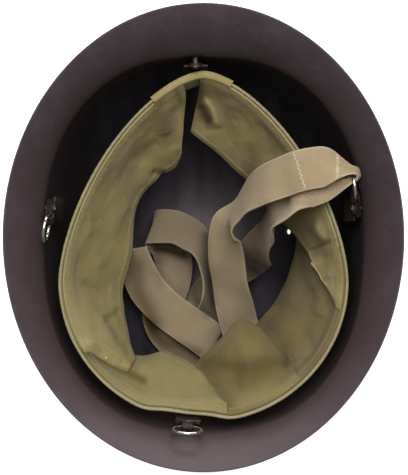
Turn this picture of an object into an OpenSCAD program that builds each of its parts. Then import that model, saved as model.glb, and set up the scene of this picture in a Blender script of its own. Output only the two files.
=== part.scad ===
// Steel helmet with a canvas liner and a webbing chin tape, lying on its crown with the opening up.
// Millimetres. The origin is where the crown rests, +Z points out of the opening, +Y is the front.

/* [Shell] */
// Length over the brim, front to rear
shell_length = 280; // [270:1:290]
// Width over the brim
shell_width = 239; // [230:1:248]
// Height from the crown to the rim
shell_height = 165; // [160:1:172]
// Height of the waist, where the bowl turns out into the brim
waist_height = 138; // [135:1:141]
// How far the brim stands out past the waist at each side
side_flare = 21; // [18:0.5:23]
// How far the brim stands out past the waist at the front
front_flare = 29; // [26:0.5:31]
// How far the brim stands out past the waist at the rear
rear_flare = 20; // [18:0.5:23]
// How much lower the rim lies at the front than at the rear
front_dip = 5; // [0:0.5:8]
// Thickness of the pressed steel
steel = 1.2; // [1:0.1:1.4]
// Fullness of the dome, 2 for an ellipsoid and more for a fuller bowl
dome_power = 2.25; // [2.15:0.05:2.35]
// Squareness of the waist in plan, 2 for an ellipse
waist_power = 2.4; // [2.3:0.05:2.5]
// Depth of the small flat worn on the crown
crown_flat = 0.5; // [0.3:0.1:0.8]
// Diameter of each vent hole
vent_d = 3.6; // [3:0.1:5]
// Distance of each vent hole from the middle of the helmet
vent_reach = 58; // [54:1:62]
// How far each vent hole is turned toward the front, in degrees
vent_turn = 5; // [0:1:10]

/* [Headband] */
// Height of the headband
band_height = 26; // [22:1:28]
// How far the top edge of the headband lies below the waist
band_drop = 8; // [6:0.5:10]
// Thickness of the headband over its stiffener
band_thick = 3.2; // [3:0.1:3.6]
// How far the headband leans in toward its lower edge
band_lean = 3; // [2:0.5:4]
// Gap between the headband and the shell at each side
side_gap = 7.8; // [7.6:0.1:9]
// Gap between the headband and the shell at the front
front_gap = 9; // [8:0.1:10]
// Gap between the headband and the shell at the rear
rear_gap = 4.5; // [3.5:0.1:6]
// How far behind the middle the headband is widest
band_widest = 27; // [22:1:32]
// How far the rear hanger pushes the headband in
band_dent = 4.5; // [4:0.5:6]
// Thickness of one layer of liner canvas
canvas = 1; // [0.8:0.1:1.1]
// Thickness of the stiffener inside the headband
stiffener_thick = 1; // [0.8:0.1:1]
// Thickness of a liner flap
flap_thick = 1.2; // [1:0.1:1.4]
// Half the angle that the patch at the front covers
patch_half_angle = 21; // [18:1:30]
// How far the middle of the patch is turned to the left, in degrees
patch_turn = 5; // [0:1:8]
// Height of the patch at the front
patch_height = 20; // [16:1:22]

/* [Hangers] */
// How far ahead of the middle each side rivet sits
side_hanger_y = 18; // [15:0.5:21]
// How far to the left of the middle the front rivet sits
front_hanger_x = 5; // [3:0.5:6]
// How far to the left of the middle the rear rivet sits
rear_hanger_x = 10; // [8:0.5:12]
// How far the rivets lie below the waist
rivet_drop = 4; // [3.5:0.5:5]
// Thickness of the hanger leather
leather = 1.5; // [1.2:0.1:1.6]
// Width of a hanger strap
hanger_width = 15; // [12:0.5:18]
// Half the width of a hanger's tongue under its rivet
tongue = 4; // [3.6:0.1:5]
// How far below its rivet a hanger meets the headband
hanger_bend = 12; // [11:0.5:13]
// How far a hanger reaches below its rivet
hanger_drop = 25; // [20:0.5:27]
// Width of a ring loop
loop_width = 6; // [5:0.5:6.5]
// Distance from the rivet to the eye of a ring loop
loop_reach = 9; // [8.5:0.5:11]
// Angle of the left ring loop above the level
left_loop_angle = 45; // [42:1:60]
// Angle of the right ring loop above the level, where the tape pulls it
right_loop_angle = 36; // [34:1:60]
// Diameter of a rivet shank
shank_d = 4; // [3.4:0.1:4.4]
// Diameter of a rivet head
head_d = 10; // [8:0.5:11]
// Length of a split rivet leg
leg_length = 8; // [7:0.5:10]
// Diameter of a rivet washer
washer_d = 10; // [8.5:0.5:11]

/* [Rings] */
// Diameter of the ring wire
wire_d = 2; // [1.6:0.1:2.1]
// Diameter of a ring to the middle of its wire
ring_d = 17; // [16:0.5:18]
// How far the left ring leans out
left_lean = 7; // [6:1:11]
// How far the right ring leans in, away from the wall
right_lean = 4; // [2:1:6]
// How far the rear ring leans out
rear_lean = 8; // [4:1:12]

/* [Chin tape] */
// Width of the chin tape
tape_width = 25; // [22:0.5:26]
// Thickness of the chin tape
tape_thick = 1.2; // [1:0.1:1.4]
// Width of the chin tape where the ring gathers it
tape_neck = 8; // [7:0.5:9]

/* [Hidden] */

// Clearances
seat = 0.3; // between a soft or curved piece and what carries it
layer_gap = 0.1; // between two pieces clamped by one rivet
bore_gap = 0.2; // around a rivet shank, on the radius

// The shell's waist, measured on its outer face
waist_x = shell_width / 2 - side_flare;
waist_y = (shell_length - front_flare - rear_flare) / 2;
waist_mid = (rear_flare - front_flare) / 2;
rim_height = shell_height - steel;
brim_rise = 9; // height of the bend above the waist
around = 64; // columns round the shell
dome_rings = 11;
brim_rings = 6;
step = 0.01;

// Where the liner hangs
band_top = waist_height - band_drop;
rivet_height = waist_height - rivet_drop;
band_half = waist_x - steel - side_gap;
band_front = waist_mid + waist_y - steel - front_gap;
band_rear = -waist_mid + waist_y - steel - rear_gap;
band_columns = 72;
patch_thick = canvas + 0.4;

// The stack under each rivet, from the steel inward
loop_a = 2 * seat; // the loop's corners reach along the curved wall
loop_b = loop_a + leather + layer_gap;
strap_z = loop_b + leather + layer_gap;
washer_z = strap_z + leather + layer_gap;
washer_thick = 0.6;
leg_z = washer_z + washer_thick + layer_gap;
leg_thick = 0.8;
// The ring's arc bows inside its straight eye, so the eye is wider than the wire by that bow
ring_r = ring_d / 2;
wire_r = wire_d / 2;
wire_bow = ring_r - sqrt(ring_r * ring_r - loop_width * loop_width / 4);
eye_r = wire_r + wire_bow / 2 + bore_gap;
eye_z = loop_a + leather + eye_r;
ring_centre = loop_reach + ring_r - wire_bow / 2;

// The points of the soft pieces are chosen for this waist: half its width, half its length, its height
drawn = [98.5, 115.5, 138];
function fitted(p) = [p[0] * waist_x / drawn[0], p[1] * waist_y / drawn[1], p[2] * waist_height / drawn[2]];

// Small vector helpers
function unit(v) = v / norm(v);
function mix(a, b, t) = a * (1 - t) + b * t;
function sgn_pow(v, p) = sign(v) * pow(abs(v), p);
function plateau(x, width) = exp(-pow(abs(x) / width, 4));
function bezier(a, b, c, d, t) =
    a * pow(1 - t, 3) + b * 3 * t * pow(1 - t, 2) + c * 3 * t * t * (1 - t) + d * pow(t, 3);
// A smooth curve through a list of points or numbers, at q in index units
function along(list, q) =
    let (i = min(max(floor(q), 0), len(list) - 2), t = q - i,
         b = list[i], c = list[i + 1],
         a = i > 0 ? list[i - 1] : b * 2 - c,
         d = i < len(list) - 2 ? list[i + 2] : c * 2 - b)
    (b * 2 + (c - a) * t + (a * 2 - b * 5 + c * 4 - d) * t * t
        + (b * 3 - a - c * 3 + d) * t * t * t) / 2;

// A closed skin over rows of points. Each row runs once round the solid. Ends are closed by a strip
// between the two halves of the row, or by a fan, and a wrapped skin joins its last row to its first.
module skin(rows, wrap = false, fan = false) {
    n = len(rows[0]);
    m = len(rows);
    points = [for (r = rows) for (p = r) p];
    middles = fan && !wrap ? [rows[0], rows[m - 1]] : [];
    centres = [for (r = middles) [for (k = [0:2]) let (v = [for (p = r) p[k]]) v * [for (p = r) 1] / n]];
    sides = [for (j = [0:m - (wrap ? 1 : 2)]) for (i = [0:n - 1])
        let (k = (i + 1) % n, h = (j + 1) % m, a = j * n + i, b = j * n + k, c = h * n + k, d = h * n + i)
        each [[a, b, c], [a, c, d]]];
    fans = len(centres) == 0 ? [] : [for (i = [0:n - 1]) let (k = (i + 1) % n, last = (m - 1) * n)
        each [[k, i, n * m], [last + i, last + k, n * m + 1]]];
    strips = wrap || fan ? [] : [for (i = [0:n / 2 - 2]) let (o = n - 1 - i, last = (m - 1) * n)
        each [[i + 1, i, o], [i + 1, o, o - 1], [last + i, last + i + 1, last + o],
            [last + i + 1, last + o - 1, last + o]]];
    polyhedron(points = concat(points, centres), faces = concat(sides, fans, strips), convexity = 8);
}

// The shell's outer face at direction a, for q from 0 at the crown through 1 at the waist to 2 at the rim
function rim_at(a) = rim_height - front_dip * pow(max(0, sin(a)), 2);
function plan_power(q) = mix(2, waist_power, q <= 1 ? q * q : pow(2 - q, 2));
function shell_face(a, q) =
    let (p = 2 / plan_power(q), x = sgn_pow(cos(a), p), y = sgn_pow(sin(a), p))
    q <= 1
    ? let (r = pow(sin(90 * q), 2 / dome_power), c = pow(max(0, cos(90 * q)), 2 / dome_power))
        [waist_x * r * x, waist_mid * r + waist_y * r * y,
            max(0, (waist_height + crown_flat) * (1 - c) - crown_flat)]
    : let (s = q - 1)
        [(waist_x + side_flare * s * s) * x,
            mix(waist_mid, 0, s * s) + mix(waist_y, shell_length / 2, s * s) * y,
            waist_height + 2 * s * (1 - s) * brim_rise + s * s * (rim_at(a) - waist_height)];
function shell_in(a, q) =
    unit(cross(shell_face(a + step * 50, q) - shell_face(a - step * 50, q),
        shell_face(a, min(2, q + step)) - shell_face(a, max(0.05, q - step)))) * -1;
function shell_point(a, q, depth) = shell_face(a, q) + shell_in(a, q) * depth;
function shell_row(q, depth) = [for (i = [0:around - 1]) shell_point(i * 360 / around, q, depth)];
// The first ring is the edge of the crown's flat
function height_q(z) = acos(pow(1 - (z + crown_flat) / (waist_height + crown_flat), dome_power / 2)) / 90;
function dome_q(i) = mix(height_q(0), 1, pow(i / dome_rings, 0.9));

// A frame on the inner face of the wall: x runs level along it, y runs up and z points inward
rivet_q = height_q(rivet_height);
function wall_point(a) = let (p = shell_point(a, rivet_q, steel)) [p[0], p[1], rivet_height];
function wall_turn(a) = let (n = shell_in(a, rivet_q)) atan2(-n[1], -n[0]);
side_angle = asin(pow((side_hanger_y - waist_mid) / waist_y, waist_power / 2));
left_angle = 180 - side_angle;
right_angle = side_angle;
rear_angle = 270 - asin(pow(rear_hanger_x / waist_x, waist_power / 2));
front_angle = 90 + asin(pow(front_hanger_x / waist_x, waist_power / 2));

function wall_axes(a) =
    let (h = wall_turn(a)) [[sin(h), -cos(h), 0], [0, 0, 1], [-cos(h), -sin(h), 0]];
function on_wall(a, p) = let (m = wall_axes(a)) wall_point(a) + m[0] * p[0] + m[1] * p[1] + m[2] * p[2];

module at_wall(a) {
    h = wall_turn(a);
    translate(wall_point(a)) rotate([0, 0, h - 90]) rotate([90, 0, 0]) children();
}

module rivet_bores(depth) {
    for (a = [front_angle, left_angle, right_angle, rear_angle])
        at_wall(a) translate([0, 0, -depth]) cylinder(d = shank_d + 2 * bore_gap, h = 2 * depth, $fn = 32);
}

module vent_bores() {
    for (a = [vent_turn, 180 - vent_turn]) {
        q = vent_q();
        p = shell_face(a, q);
        n = shell_in(a, q);
        translate(p - n * 3) rotate([0, acos(n[2]), atan2(n[1], n[0])])
            cylinder(d = vent_d, h = 8, $fn = 32);
    }
}
function vent_q() = asin(pow(vent_reach / waist_x, dome_power / 2)) / 90;

module steel_shell() {
    color([0.22, 0.18, 0.19]) difference() {
        skin(concat([for (i = [0:dome_rings]) shell_row(dome_q(i), steel)],
            [for (i = [1:brim_rings]) shell_row(1 + i / brim_rings, steel)],
            [for (i = [brim_rings:-1:1]) shell_row(1 + i / brim_rings, 0)],
            [for (i = [dome_rings:-1:0]) shell_row(dome_q(i), 0)]), fan = true);
        rivet_bores(10);
        vent_bores();
    }
}

// The headband's outer face in plan: rounded at the rear, narrower at the front, with the rear
// hanger's dent
function band_plan(a) =
    let (p = sin(a) > 0
        ? [band_half * sgn_pow(cos(a), 1.25), (band_front + band_widest) * pow(sin(a), 1.25) - band_widest]
        : [band_half * cos(a), (band_rear - band_widest) * sin(a) - band_widest])
    [p[0], p[1] + (p[1] < -band_widest ? band_dent * plateau(p[0] + rear_hanger_x, 22) : 0)];
function band_in(a) = let (t = band_plan(a + 0.5) - band_plan(a - 0.5)) unit([-t[1], t[0]]);
function band_point(a, depth, z) =
    let (p = band_plan(a) + band_in(a) * (depth + (band_top - z) * band_lean / band_height)) [p[0], p[1], z];
// Columns start off the axes, so that no column sits where the plan's two halves meet
function band_column(i) = (i + 0.5) * 360 / band_columns;
function band_ring(section) = [for (i = [0:band_columns - 1])
    [for (s = section) band_point(band_column(i), s[0], s[1])]];

module headband() {
    z0 = band_top - band_height;
    color([0.62, 0.57, 0.42]) skin(band_ring([[0, z0], [0, band_top - 1.2], [canvas, band_top],
        [band_thick - canvas, band_top], [band_thick, band_top - 1.2], [band_thick, z0],
        [band_thick - canvas, z0], [band_thick - canvas, band_top - 1.6],
        [canvas, band_top - 1.6], [canvas, z0]]), wrap = true);
}

module band_stiffener() {
    z0 = band_top - band_height + 1;
    z1 = band_top - 2;
    d = (band_thick - stiffener_thick) / 2;
    color([0.45, 0.36, 0.26]) skin(band_ring([[d, z0], [d, z1],
        [d + stiffener_thick, z1], [d + stiffener_thick, z0]]), wrap = true);
}

module front_patch() {
    columns = 14;
    z1 = band_top + 1.2;
    z0 = band_top - patch_height;
    color([0.66, 0.61, 0.45]) skin([for (i = [0:columns])
        let (a = 90 + patch_turn - patch_half_angle + 2 * patch_half_angle * i / columns)
        [for (s = [[-seat - patch_thick, z0], [-seat - patch_thick, z1], [-0.6, z1 + 0.6], [band_thick, z1 + 0.6],
            [band_thick, band_top + seat], [0, band_top + seat], [-seat, z1 - 1], [-seat, z0]])
            band_point(a, s[0], s[1])]]);
}

// A liner flap hangs from the headband's inner face and reaches to its free edge. Each is
// [first angle, last angle, lift off the band at the start, lift at the end, free edge points]
left_flap = [103, 212, 0, 3.4,
    [[-14, 52, 68], [-18.5, 45, 67], [-28, 40, 66], [-38, 30, 65], [-43, 19, 64.5], [-46, 2, 63],
     [-49, -16, 62], [-52, -34, 62], [-52, -52, 66], [-48, -66, 78], [-43.5, -75, 92], [-46.5, -82, 104.5]]];
right_flap = [94, -12, 0, 3,
    [[-8, 68, 76], [4, 58, 70], [16, 48, 66], [28, 37, 63], [39, 24, 62], [50, 12, 63],
     [60, 0, 70], [66, -9, 80], [71, -19, 92], [75, -30, 108]]];
rear_flap = [14, -96, 0, 0,
    [[60, 10, 62], [60, -4, 58], [58, -17, 58], [54, -30, 58], [47, -42, 58], [39, -51, 58],
     [31, -60, 59], [22, -68, 60], [12, -75, 61], [2, -80, 63], [-5, -84, 66], [-8, -87, 69]]];
rear_tongue = [-46, -92, 1.8, 1.8,
    [[56, -76, 101], [49, -71, 91], [40, -63, 83], [30, -55, 77], [22, -54, 75],
     [14, -62, 74], [6, -70, 74], [-1, -77, 76], [-6, -84, 82]]];
rear_fold = [206, 279, 0, 3.6,
    [[-54, -70, 80], [-45, -77, 73], [-35, -77, 72], [-25, -74, 72], [-17, -77, 74],
     [-9, -81, 80], [-2, -88, 90], [4, -96, 101], [11, -104, 114]]];

function flap_start(f, s) =
    let (a = mix(f[0], f[1], s), lift = mix(f[2], f[3], s))
    band_point(a, band_thick + seat + flap_thick / 2 + lift, band_top - 2.5);
function flap_at(f, s, v) =
    let (o = flap_start(f, s), e = fitted(along(f[4], s * (len(f[4]) - 1))), out = [o[0] - e[0], o[1] - e[1], 0],
         fall = o[2] - e[2], n = band_in(mix(f[0], f[1], s)), follow = fall * 0.35 * band_lean / band_height + 1.2)
    bezier(o, o - [0, 0, fall * 0.35] + [n[0], n[1], 0] * follow,
        e + unit(out) * min(14, norm(out) * 0.4) + [0, 0, fall * 0.32], e, v);
function flap_normal(f, s, v) =
    unit(cross(flap_at(f, min(1, s + step), v) - flap_at(f, max(0, s - step), v),
        flap_at(f, s, min(1, v + step)) - flap_at(f, s, max(0, v - step))));
module flap(f, columns = 24, steps = 9) {
    skin([for (i = [0:columns]) let (s = i / columns)
        concat([for (j = [0:steps]) flap_at(f, s, j / steps) + flap_normal(f, s, j / steps) * flap_thick / 2],
            [for (j = [steps:-1:0]) flap_at(f, s, j / steps) - flap_normal(f, s, j / steps) * flap_thick / 2])]);
}

module flap_left() { color([0.56, 0.51, 0.35]) flap(left_flap); }
module flap_right() { color([0.56, 0.51, 0.35]) flap(right_flap); }
module flap_rear() {
    color([0.56, 0.51, 0.35]) {
        flap(rear_flap, columns = 22);
        flap(rear_tongue, columns = 16);
        flap(rear_fold, columns = 18);
    }
}

// A split rivet: a domed head outside the steel, a shank and two legs bent flat on the washer, to the
// sides or up and down
module split_rivet(a, leg_turn) {
    head_h = 2.4;
    dome_r = (head_d * head_d / 4 + head_h * head_h) / (2 * head_h);
    color([0.3, 0.26, 0.26]) at_wall(a) {
        translate([0, 0, -steel - seat]) intersection() {
            translate([0, 0, dome_r - head_h]) sphere(r = dome_r, $fn = 64);
            translate([0, 0, -head_h]) cylinder(d = head_d + 1, h = head_h, $fn = 64);
        }
        translate([0, 0, -steel - seat - head_h / 2])
            cylinder(d = shank_d, h = leg_z + leg_thick + steel + seat + head_h / 2, $fn = 32);
        rotate([0, 0, leg_turn]) for (side = [-1, 1]) rivet_leg(side);
    }
}

module rivet_leg(side) {
    w = shank_d * 0.45;
    translate([0, 0, leg_z]) linear_extrude(leg_thick)
        polygon([[0, -w], [side * (leg_length - 3), -w], [side * leg_length, -w / 3],
            [side * leg_length, w / 3], [side * (leg_length - 3), w], [0, w]]);
}

module washer(a) {
    color([0.34, 0.3, 0.3]) at_wall(a) translate([0, 0, washer_z]) difference() {
        cylinder(d = washer_d, h = washer_thick, $fn = 48);
        translate([0, 0, -1]) cylinder(d = shank_d + 2 * bore_gap, h = 3, $fn = 32);
    }
}

// A leather strap from the rivet down to the headband's outer face. gap is the space between the
// steel and the headband there
module hanger(a, gap) {
    foot = gap - 2 * seat - leather;
    lean = band_lean / band_height;
    shoulder = 2 * tongue;
    color([0.33, 0.21, 0.13]) at_wall(a) difference() {
        union() {
            translate([0, 0, strap_z]) cylinder(r = tongue, h = leather, $fn = 48);
            translate([-tongue, -shoulder, strap_z]) cube([2 * tongue, shoulder, leather]);
            rotate([90, 0, 90]) translate([0, 0, -hanger_width / 2]) linear_extrude(hanger_width)
                polygon([[-tongue * 1.5, strap_z], [-tongue * 1.5, strap_z + leather],
                    [-shoulder, strap_z + leather],
                    [-hanger_bend, foot + leather + hanger_bend * lean],
                    [-hanger_drop, foot + leather + hanger_drop * lean],
                    [-hanger_drop, foot + hanger_drop * lean],
                    [-hanger_bend - leather / 3, foot + hanger_bend * lean], [-shoulder - leather / 3, strap_z]]);
        }
        translate([0, 0, -1]) cylinder(d = shank_d + 2 * bore_gap, h = 12, $fn = 32);
    }
}

// A leather loop folded round the ring's wire, with both ends under the rivet
module ring_loop(a, turn) {
    top_z = eye_z + eye_r + leather;
    color([0.36, 0.23, 0.14]) at_wall(a) rotate([0, 0, turn]) difference() {
        translate([0, loop_width / 2, 0]) rotate([90, 0, 0]) {
            linear_extrude(loop_width) polygon([[-5, loop_a], [loop_reach, loop_a], [loop_reach, top_z],
                [4.5, loop_b + leather], [-5, loop_b + leather]]);
            translate([loop_reach, eye_z, 0]) cylinder(r = eye_r + leather, h = loop_width, $fn = 48);
        }
        translate([loop_reach, loop_width, eye_z]) rotate([90, 0, 0])
            cylinder(r = eye_r, h = 2 * loop_width, $fn = 48);
        translate([0, 0, -1]) cylinder(d = shank_d + 2 * bore_gap, h = 12, $fn = 32);
        translate([0, loop_width, 0]) rotate([90, 0, 0]) linear_extrude(2 * loop_width)
            polygon([[-6, loop_a + leather], [loop_reach - eye_r, loop_a + leather],
                [loop_reach, eye_z], [4.7, loop_b], [-6, loop_b]]);
    }
}

module ring(a, turn, lean) {
    color([0.8, 0.81, 0.83]) at_wall(a) rotate([0, 0, turn]) translate([loop_reach, 0, eye_z])
        rotate([0, lean, 0]) translate([ring_r - wire_bow / 2, 0, 0])
        rotate_extrude($fn = 64) translate([ring_r, 0]) circle(r = wire_r, $fn = 24);
}

// The chin tape's route as [x, y, z, and the direction across the tape], from the end under the rear
// flap up to the right ring, round its wire, and down into the heap on the crown
left_turn = 180 - left_loop_angle;
right_turn = 180 - right_loop_angle;
function in_turn(turn, p) = [p[0] * cos(turn) - p[1] * sin(turn), p[0] * sin(turn) + p[1] * cos(turn), p[2]];
// A point of the right ring, measured from its hinge along the ring and off it
function leant(p) = [loop_reach + p[0] * cos(right_lean) - p[2] * sin(right_lean), p[1],
    eye_z + p[0] * sin(right_lean) + p[2] * cos(right_lean)];
function ring_place(out, deep) = on_wall(right_angle,
    in_turn(right_turn, leant([2 * ring_r - wire_bow / 2 + out, 0, deep])));
across_ring = ring_place(0, 0) - on_wall(right_angle,
    in_turn(right_turn, leant([2 * ring_r - wire_bow / 2, 1, 0])));
wrap_r = wire_r + tape_thick / 2 + 1.7;
function wrap_station(turn) = concat(ring_place(wrap_r * cos(turn), -wrap_r * sin(turn)), across_ring);

upper_tail = [[29, -76, 46, 1, 0.15, 0.1], [26, -65, 43, 1, 0.25, 0.05], [23, -56, 43, 1, 0.35, 0],
    [18, -33, 55, 1, -0.1, 0.35], [15, -14, 70, 0.95, -0.05, 0.45], [14, 2, 84, 0.6, 0.1, 0.8],
    [16, 10, 93, 0.35, -0.1, 0.95], [22, 18, 102, 0.1, -0.45, 0.88], [28, 26, 113, -0.1, -0.9, 0.4],
    [37, 32, 125, 0.1, -0.95, 0.25], [49, 37, 136, 0.2, -1, 0.1]];
lower_tail = [[52, 18, 130, -0.1, -0.45, 0.88], [44, 12, 118, 0.16, -0.25, 0.95], [41, 5, 100, 0.15, -0.25, 0.95],
    [38, -3, 80, 0.25, -0.15, 0.95], [34, -11, 58, 0.55, -0.1, 0.8], [29, -17, 36, 0.8, -0.2, 0.55],
    [23, -20, 22, 0.6, -0.6, 0.35]];
// Stations beside the right ring, measured from the far side of its wire
into_ring = [[-32, 2, -6, 0.22, -1, 0.05], [-21, 4, -2, 0.3, -1, 0.1], [-11, 4, 1, 0.3, -0.9, 0.4]];
out_of_ring = [[-14, -6, -7, 0.25, -1, 0.2], [-30, -9, -13, 0.2, -1, 0.03]];
heap = [[11, -31, 14, 0.9, -0.4, 0.1], [-1, -45, 15, 1, -0.2, 0.1], [-6, -60, 20, 1, -0.05, 0.1],
    [-6, -68, 25, 1, 0, 0.05], [-2, -62, 31, 0.95, 0.1, -0.3], [3, -48, 32, 0.6, 0.05, -0.8],
    [4, -33, 33, 0.38, 0.05, -0.92], [3, -21, 34, 0.36, 0.1, -0.93], [0, -9, 34, 0.42, 0.35, -0.84],
    [-7, 0, 33, 0.45, 0.7, -0.55], [-18, 6, 32, 0.05, 0.85, -0.5],
    [-29, 7, 31, 0.15, 0.9, -0.4], [-35, 6, 27, 0.25, 0.9, -0.35], [-31, 1, 21, 0.25, 0.9, -0.3],
    [-24, -6, 19, 0.6, 0.75, -0.2], [-20, -17, 19, 0.9, 0.35, 0.1], [-21, -29, 22, 0.95, 0.1, 0],
    [-26, -42, 27, 0.95, 0.1, -0.15], [-28, -54, 33, 0.85, 0.3, -0.1], [-22, -65, 37, 0.5, 0.75, 0],
    [-11, -71, 37, 0.15, 0.95, -0.1], [1, -74, 37, 0, 1, -0.1], [7, -72, 41, 0.15, 0.98, 0],
    [0, -65, 46, 0.3, 0.92, 0], [-13, -56, 47, 0.42, 0.9, 0], [-26, -46, 47, 0.42, 0.9, 0.05],
    [-37, -34, 46, 0.45, 0.85, 0.15], [-44, -20, 47, 0.5, 0.7, 0.4], [-48, -8, 50, 0.6, 0.5, 0.55]];
wrap_stations = [for (t = [35, 90, 145, 200]) wrap_station(t - 30)];
function in_bowl(s) = concat(fitted(s), [s[3], s[4], s[5]]);
function by_ring(s) = concat(ring_place(0, 0) + [s[0], s[1], s[2]], [s[3], s[4], s[5]]);
route = concat([for (s = upper_tail) in_bowl(s)], [for (s = into_ring) by_ring(s)], wrap_stations,
    [for (s = out_of_ring) by_ring(s)], [for (s = concat(lower_tail, heap)) in_bowl(s)]);
neck_from = len(upper_tail) + len(into_ring) - 1;
neck_to = neck_from + 1 + len(wrap_stations);
function tape_half(q) =
    let (mid = (neck_from + neck_to) / 2, reach = (neck_to - neck_from) / 2,
         t = min(1, max(0, (abs(q - mid) - reach + 1.2) / 2)))
    mix(tape_neck, tape_width, t * t * (3 - 2 * t)) / 2;
function tape_section(q) =
    let (p = along(route, q), n = along(route, min(q + 0.1, len(route) - 1)),
         b = along(route, max(q - 0.1, 0)), mid = [p[0], p[1], p[2]],
         run = unit([n[0] - b[0], n[1] - b[1], n[2] - b[2]]), w0 = [p[3], p[4], p[5]],
         w = unit(w0 - run * (w0 * run)), up = cross(run, w), h = tape_half(q), t = tape_thick / 2)
    [mid - w * h + up * t, mid + w * h + up * t, mid + w * h - up * t, mid - w * h - up * t];

module chin_tape() {
    per_station = 3;
    color([0.62, 0.54, 0.43]) skin([for (i = [0:(len(route) - 1) * per_station]) tape_section(i / per_station)]);
}

module front_rivet() { split_rivet(front_angle, 90); }
module left_rivet() { split_rivet(left_angle, 90); }
module right_rivet() { split_rivet(right_angle, 90); }
module rear_rivet() { split_rivet(rear_angle, 0); }
module front_washer() { washer(front_angle); }
module left_washer() { washer(left_angle); }
module right_washer() { washer(right_angle); }
module rear_washer() { washer(rear_angle); }
module front_hanger() { hanger(front_angle, front_gap - patch_thick - seat); }
module left_hanger() { hanger(left_angle, side_gap); }
module right_hanger() { hanger(right_angle, side_gap); }
module rear_hanger() { hanger(rear_angle, rear_gap + band_dent); }
module left_ring_loop() { ring_loop(left_angle, left_turn); }
module right_ring_loop() { ring_loop(right_angle, right_turn); }
module rear_ring_loop() { ring_loop(rear_angle, 90); }
module left_ring() { ring(left_angle, left_turn, left_lean); }
module right_ring() { ring(right_angle, right_turn, -right_lean); }
module rear_ring() { ring(rear_angle, 90, rear_lean); }

steel_shell();
headband();
band_stiffener();
front_patch();
flap_left();
flap_right();
flap_rear();
front_rivet();
left_rivet();
right_rivet();
rear_rivet();
front_washer();
left_washer();
right_washer();
rear_washer();
front_hanger();
left_hanger();
right_hanger();
rear_hanger();
left_ring_loop();
right_ring_loop();
rear_ring_loop();
left_ring();
right_ring();
rear_ring();
chin_tape();
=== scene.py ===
# %% [markdown]
# # A steel helmet, looked at straight into its bowl
# The helmet lies on its crown with the opening up. The frame that is loaded first holds every hard
# piece at its real size and place, in metres. This script dresses it: cloth, thread, leather, paint,
# plating, a floor, lamps and a camera. Each step below is a cell that explains one piece.

# %% Load the frame
import math
import random

import bmesh
import bpy
from mathutils import Matrix, Vector, noise
from mathutils.bvhtree import BVHTree


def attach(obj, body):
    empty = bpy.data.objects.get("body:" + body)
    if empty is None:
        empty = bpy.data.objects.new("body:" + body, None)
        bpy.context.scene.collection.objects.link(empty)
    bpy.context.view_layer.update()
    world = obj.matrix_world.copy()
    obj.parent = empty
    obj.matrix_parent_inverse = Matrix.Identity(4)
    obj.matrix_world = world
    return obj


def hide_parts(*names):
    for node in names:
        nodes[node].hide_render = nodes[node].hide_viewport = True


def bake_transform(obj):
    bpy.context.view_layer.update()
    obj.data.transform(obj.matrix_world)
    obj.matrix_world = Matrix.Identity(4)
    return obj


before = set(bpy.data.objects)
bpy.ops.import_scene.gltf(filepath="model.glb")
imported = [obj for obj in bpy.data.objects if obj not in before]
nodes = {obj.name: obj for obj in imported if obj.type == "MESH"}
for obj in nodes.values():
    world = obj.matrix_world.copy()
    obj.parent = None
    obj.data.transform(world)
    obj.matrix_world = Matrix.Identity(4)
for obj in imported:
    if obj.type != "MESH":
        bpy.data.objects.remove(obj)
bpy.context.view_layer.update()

# %% [markdown]
# ## The camera
# The photograph looks straight down from above the opening, with the front of the helmet at the top.
# A lens about 1.1 m above the rim gives the same perspective: the rim looks a little larger than it
# would from far away, and the crown a little smaller.

# %% Camera
RIM_VIEW_WIDTH = 0.24235  # what the picture's width covers at the rim
RIM_DISTANCE, RIM_LEVEL = 1.1, 0.165
CAMERA_X, CAMERA_Y = 0.0003, -0.0003
camera = bpy.data.objects.new("camera", bpy.data.cameras.new("camera"))
bpy.context.scene.collection.objects.link(camera)
camera.data.sensor_fit = "HORIZONTAL"
camera.data.angle = 2 * math.atan(RIM_VIEW_WIDTH / 2 / RIM_DISTANCE)
camera.location = (CAMERA_X, CAMERA_Y, RIM_LEVEL + RIM_DISTANCE)
bpy.context.scene.camera = camera
print("camera covers", RIM_VIEW_WIDTH, "m at the rim")


# %% [markdown]
# ## Places in the photograph
# Folds, stitches and loose threads are placed by where they lie in the photograph, in its pixels.
# A small function turns a point of the model into a pixel. The height counts too, because what lies
# deeper in the bowl is further from the lens and so looks smaller.

# %% Pixels and millimetres
MM = 0.001
MID_X, MID_Y = 203.5, 237.0  # the pixel above the origin
TABLE_PIXEL, PIXEL_SHRINK = 0.6831, 0.00054


def pixel_size(z):
    """Millimetres that one pixel covers at the height z, in millimetres."""
    return TABLE_PIXEL - PIXEL_SHRINK * z


def to_pixel(point):
    """Where a point in millimetres lies in the photograph."""
    k = pixel_size(point.z)
    return MID_X + point.x / k, MID_Y - point.y / k


# %% [markdown]
# ## Curves that both the frame and this script use
# The pressed shell and the sewn liner are drawn by a few formulas, the same ones that gave the hard
# frame its shape. A finer copy of the frame's own mesh would keep its flat facets. Repeating the
# formulas lets the fine surfaces below lie exactly where the plain ones do.

# %% Shared curves
def mix(a, b, t):
    """a where t is 0, b where it is 1."""
    return a * (1 - t) + b * t


def smooth(t):
    """Rises from 0 to 1 and is level at both ends."""
    t = min(1.0, max(0.0, t))
    return t * t * (3 - 2 * t)


def bell(x, width):
    """1 in the middle, and fades out over the width."""
    return math.exp(-(x / width) ** 2)


def plateau(x, width):
    """Like a bell, with a flat top and steeper sides."""
    return math.exp(-(x / width) ** 4)


def signed_power(value, power):
    return math.copysign(abs(value) ** power, value)


def points(*rows):
    return [Vector(row) for row in rows]


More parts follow.
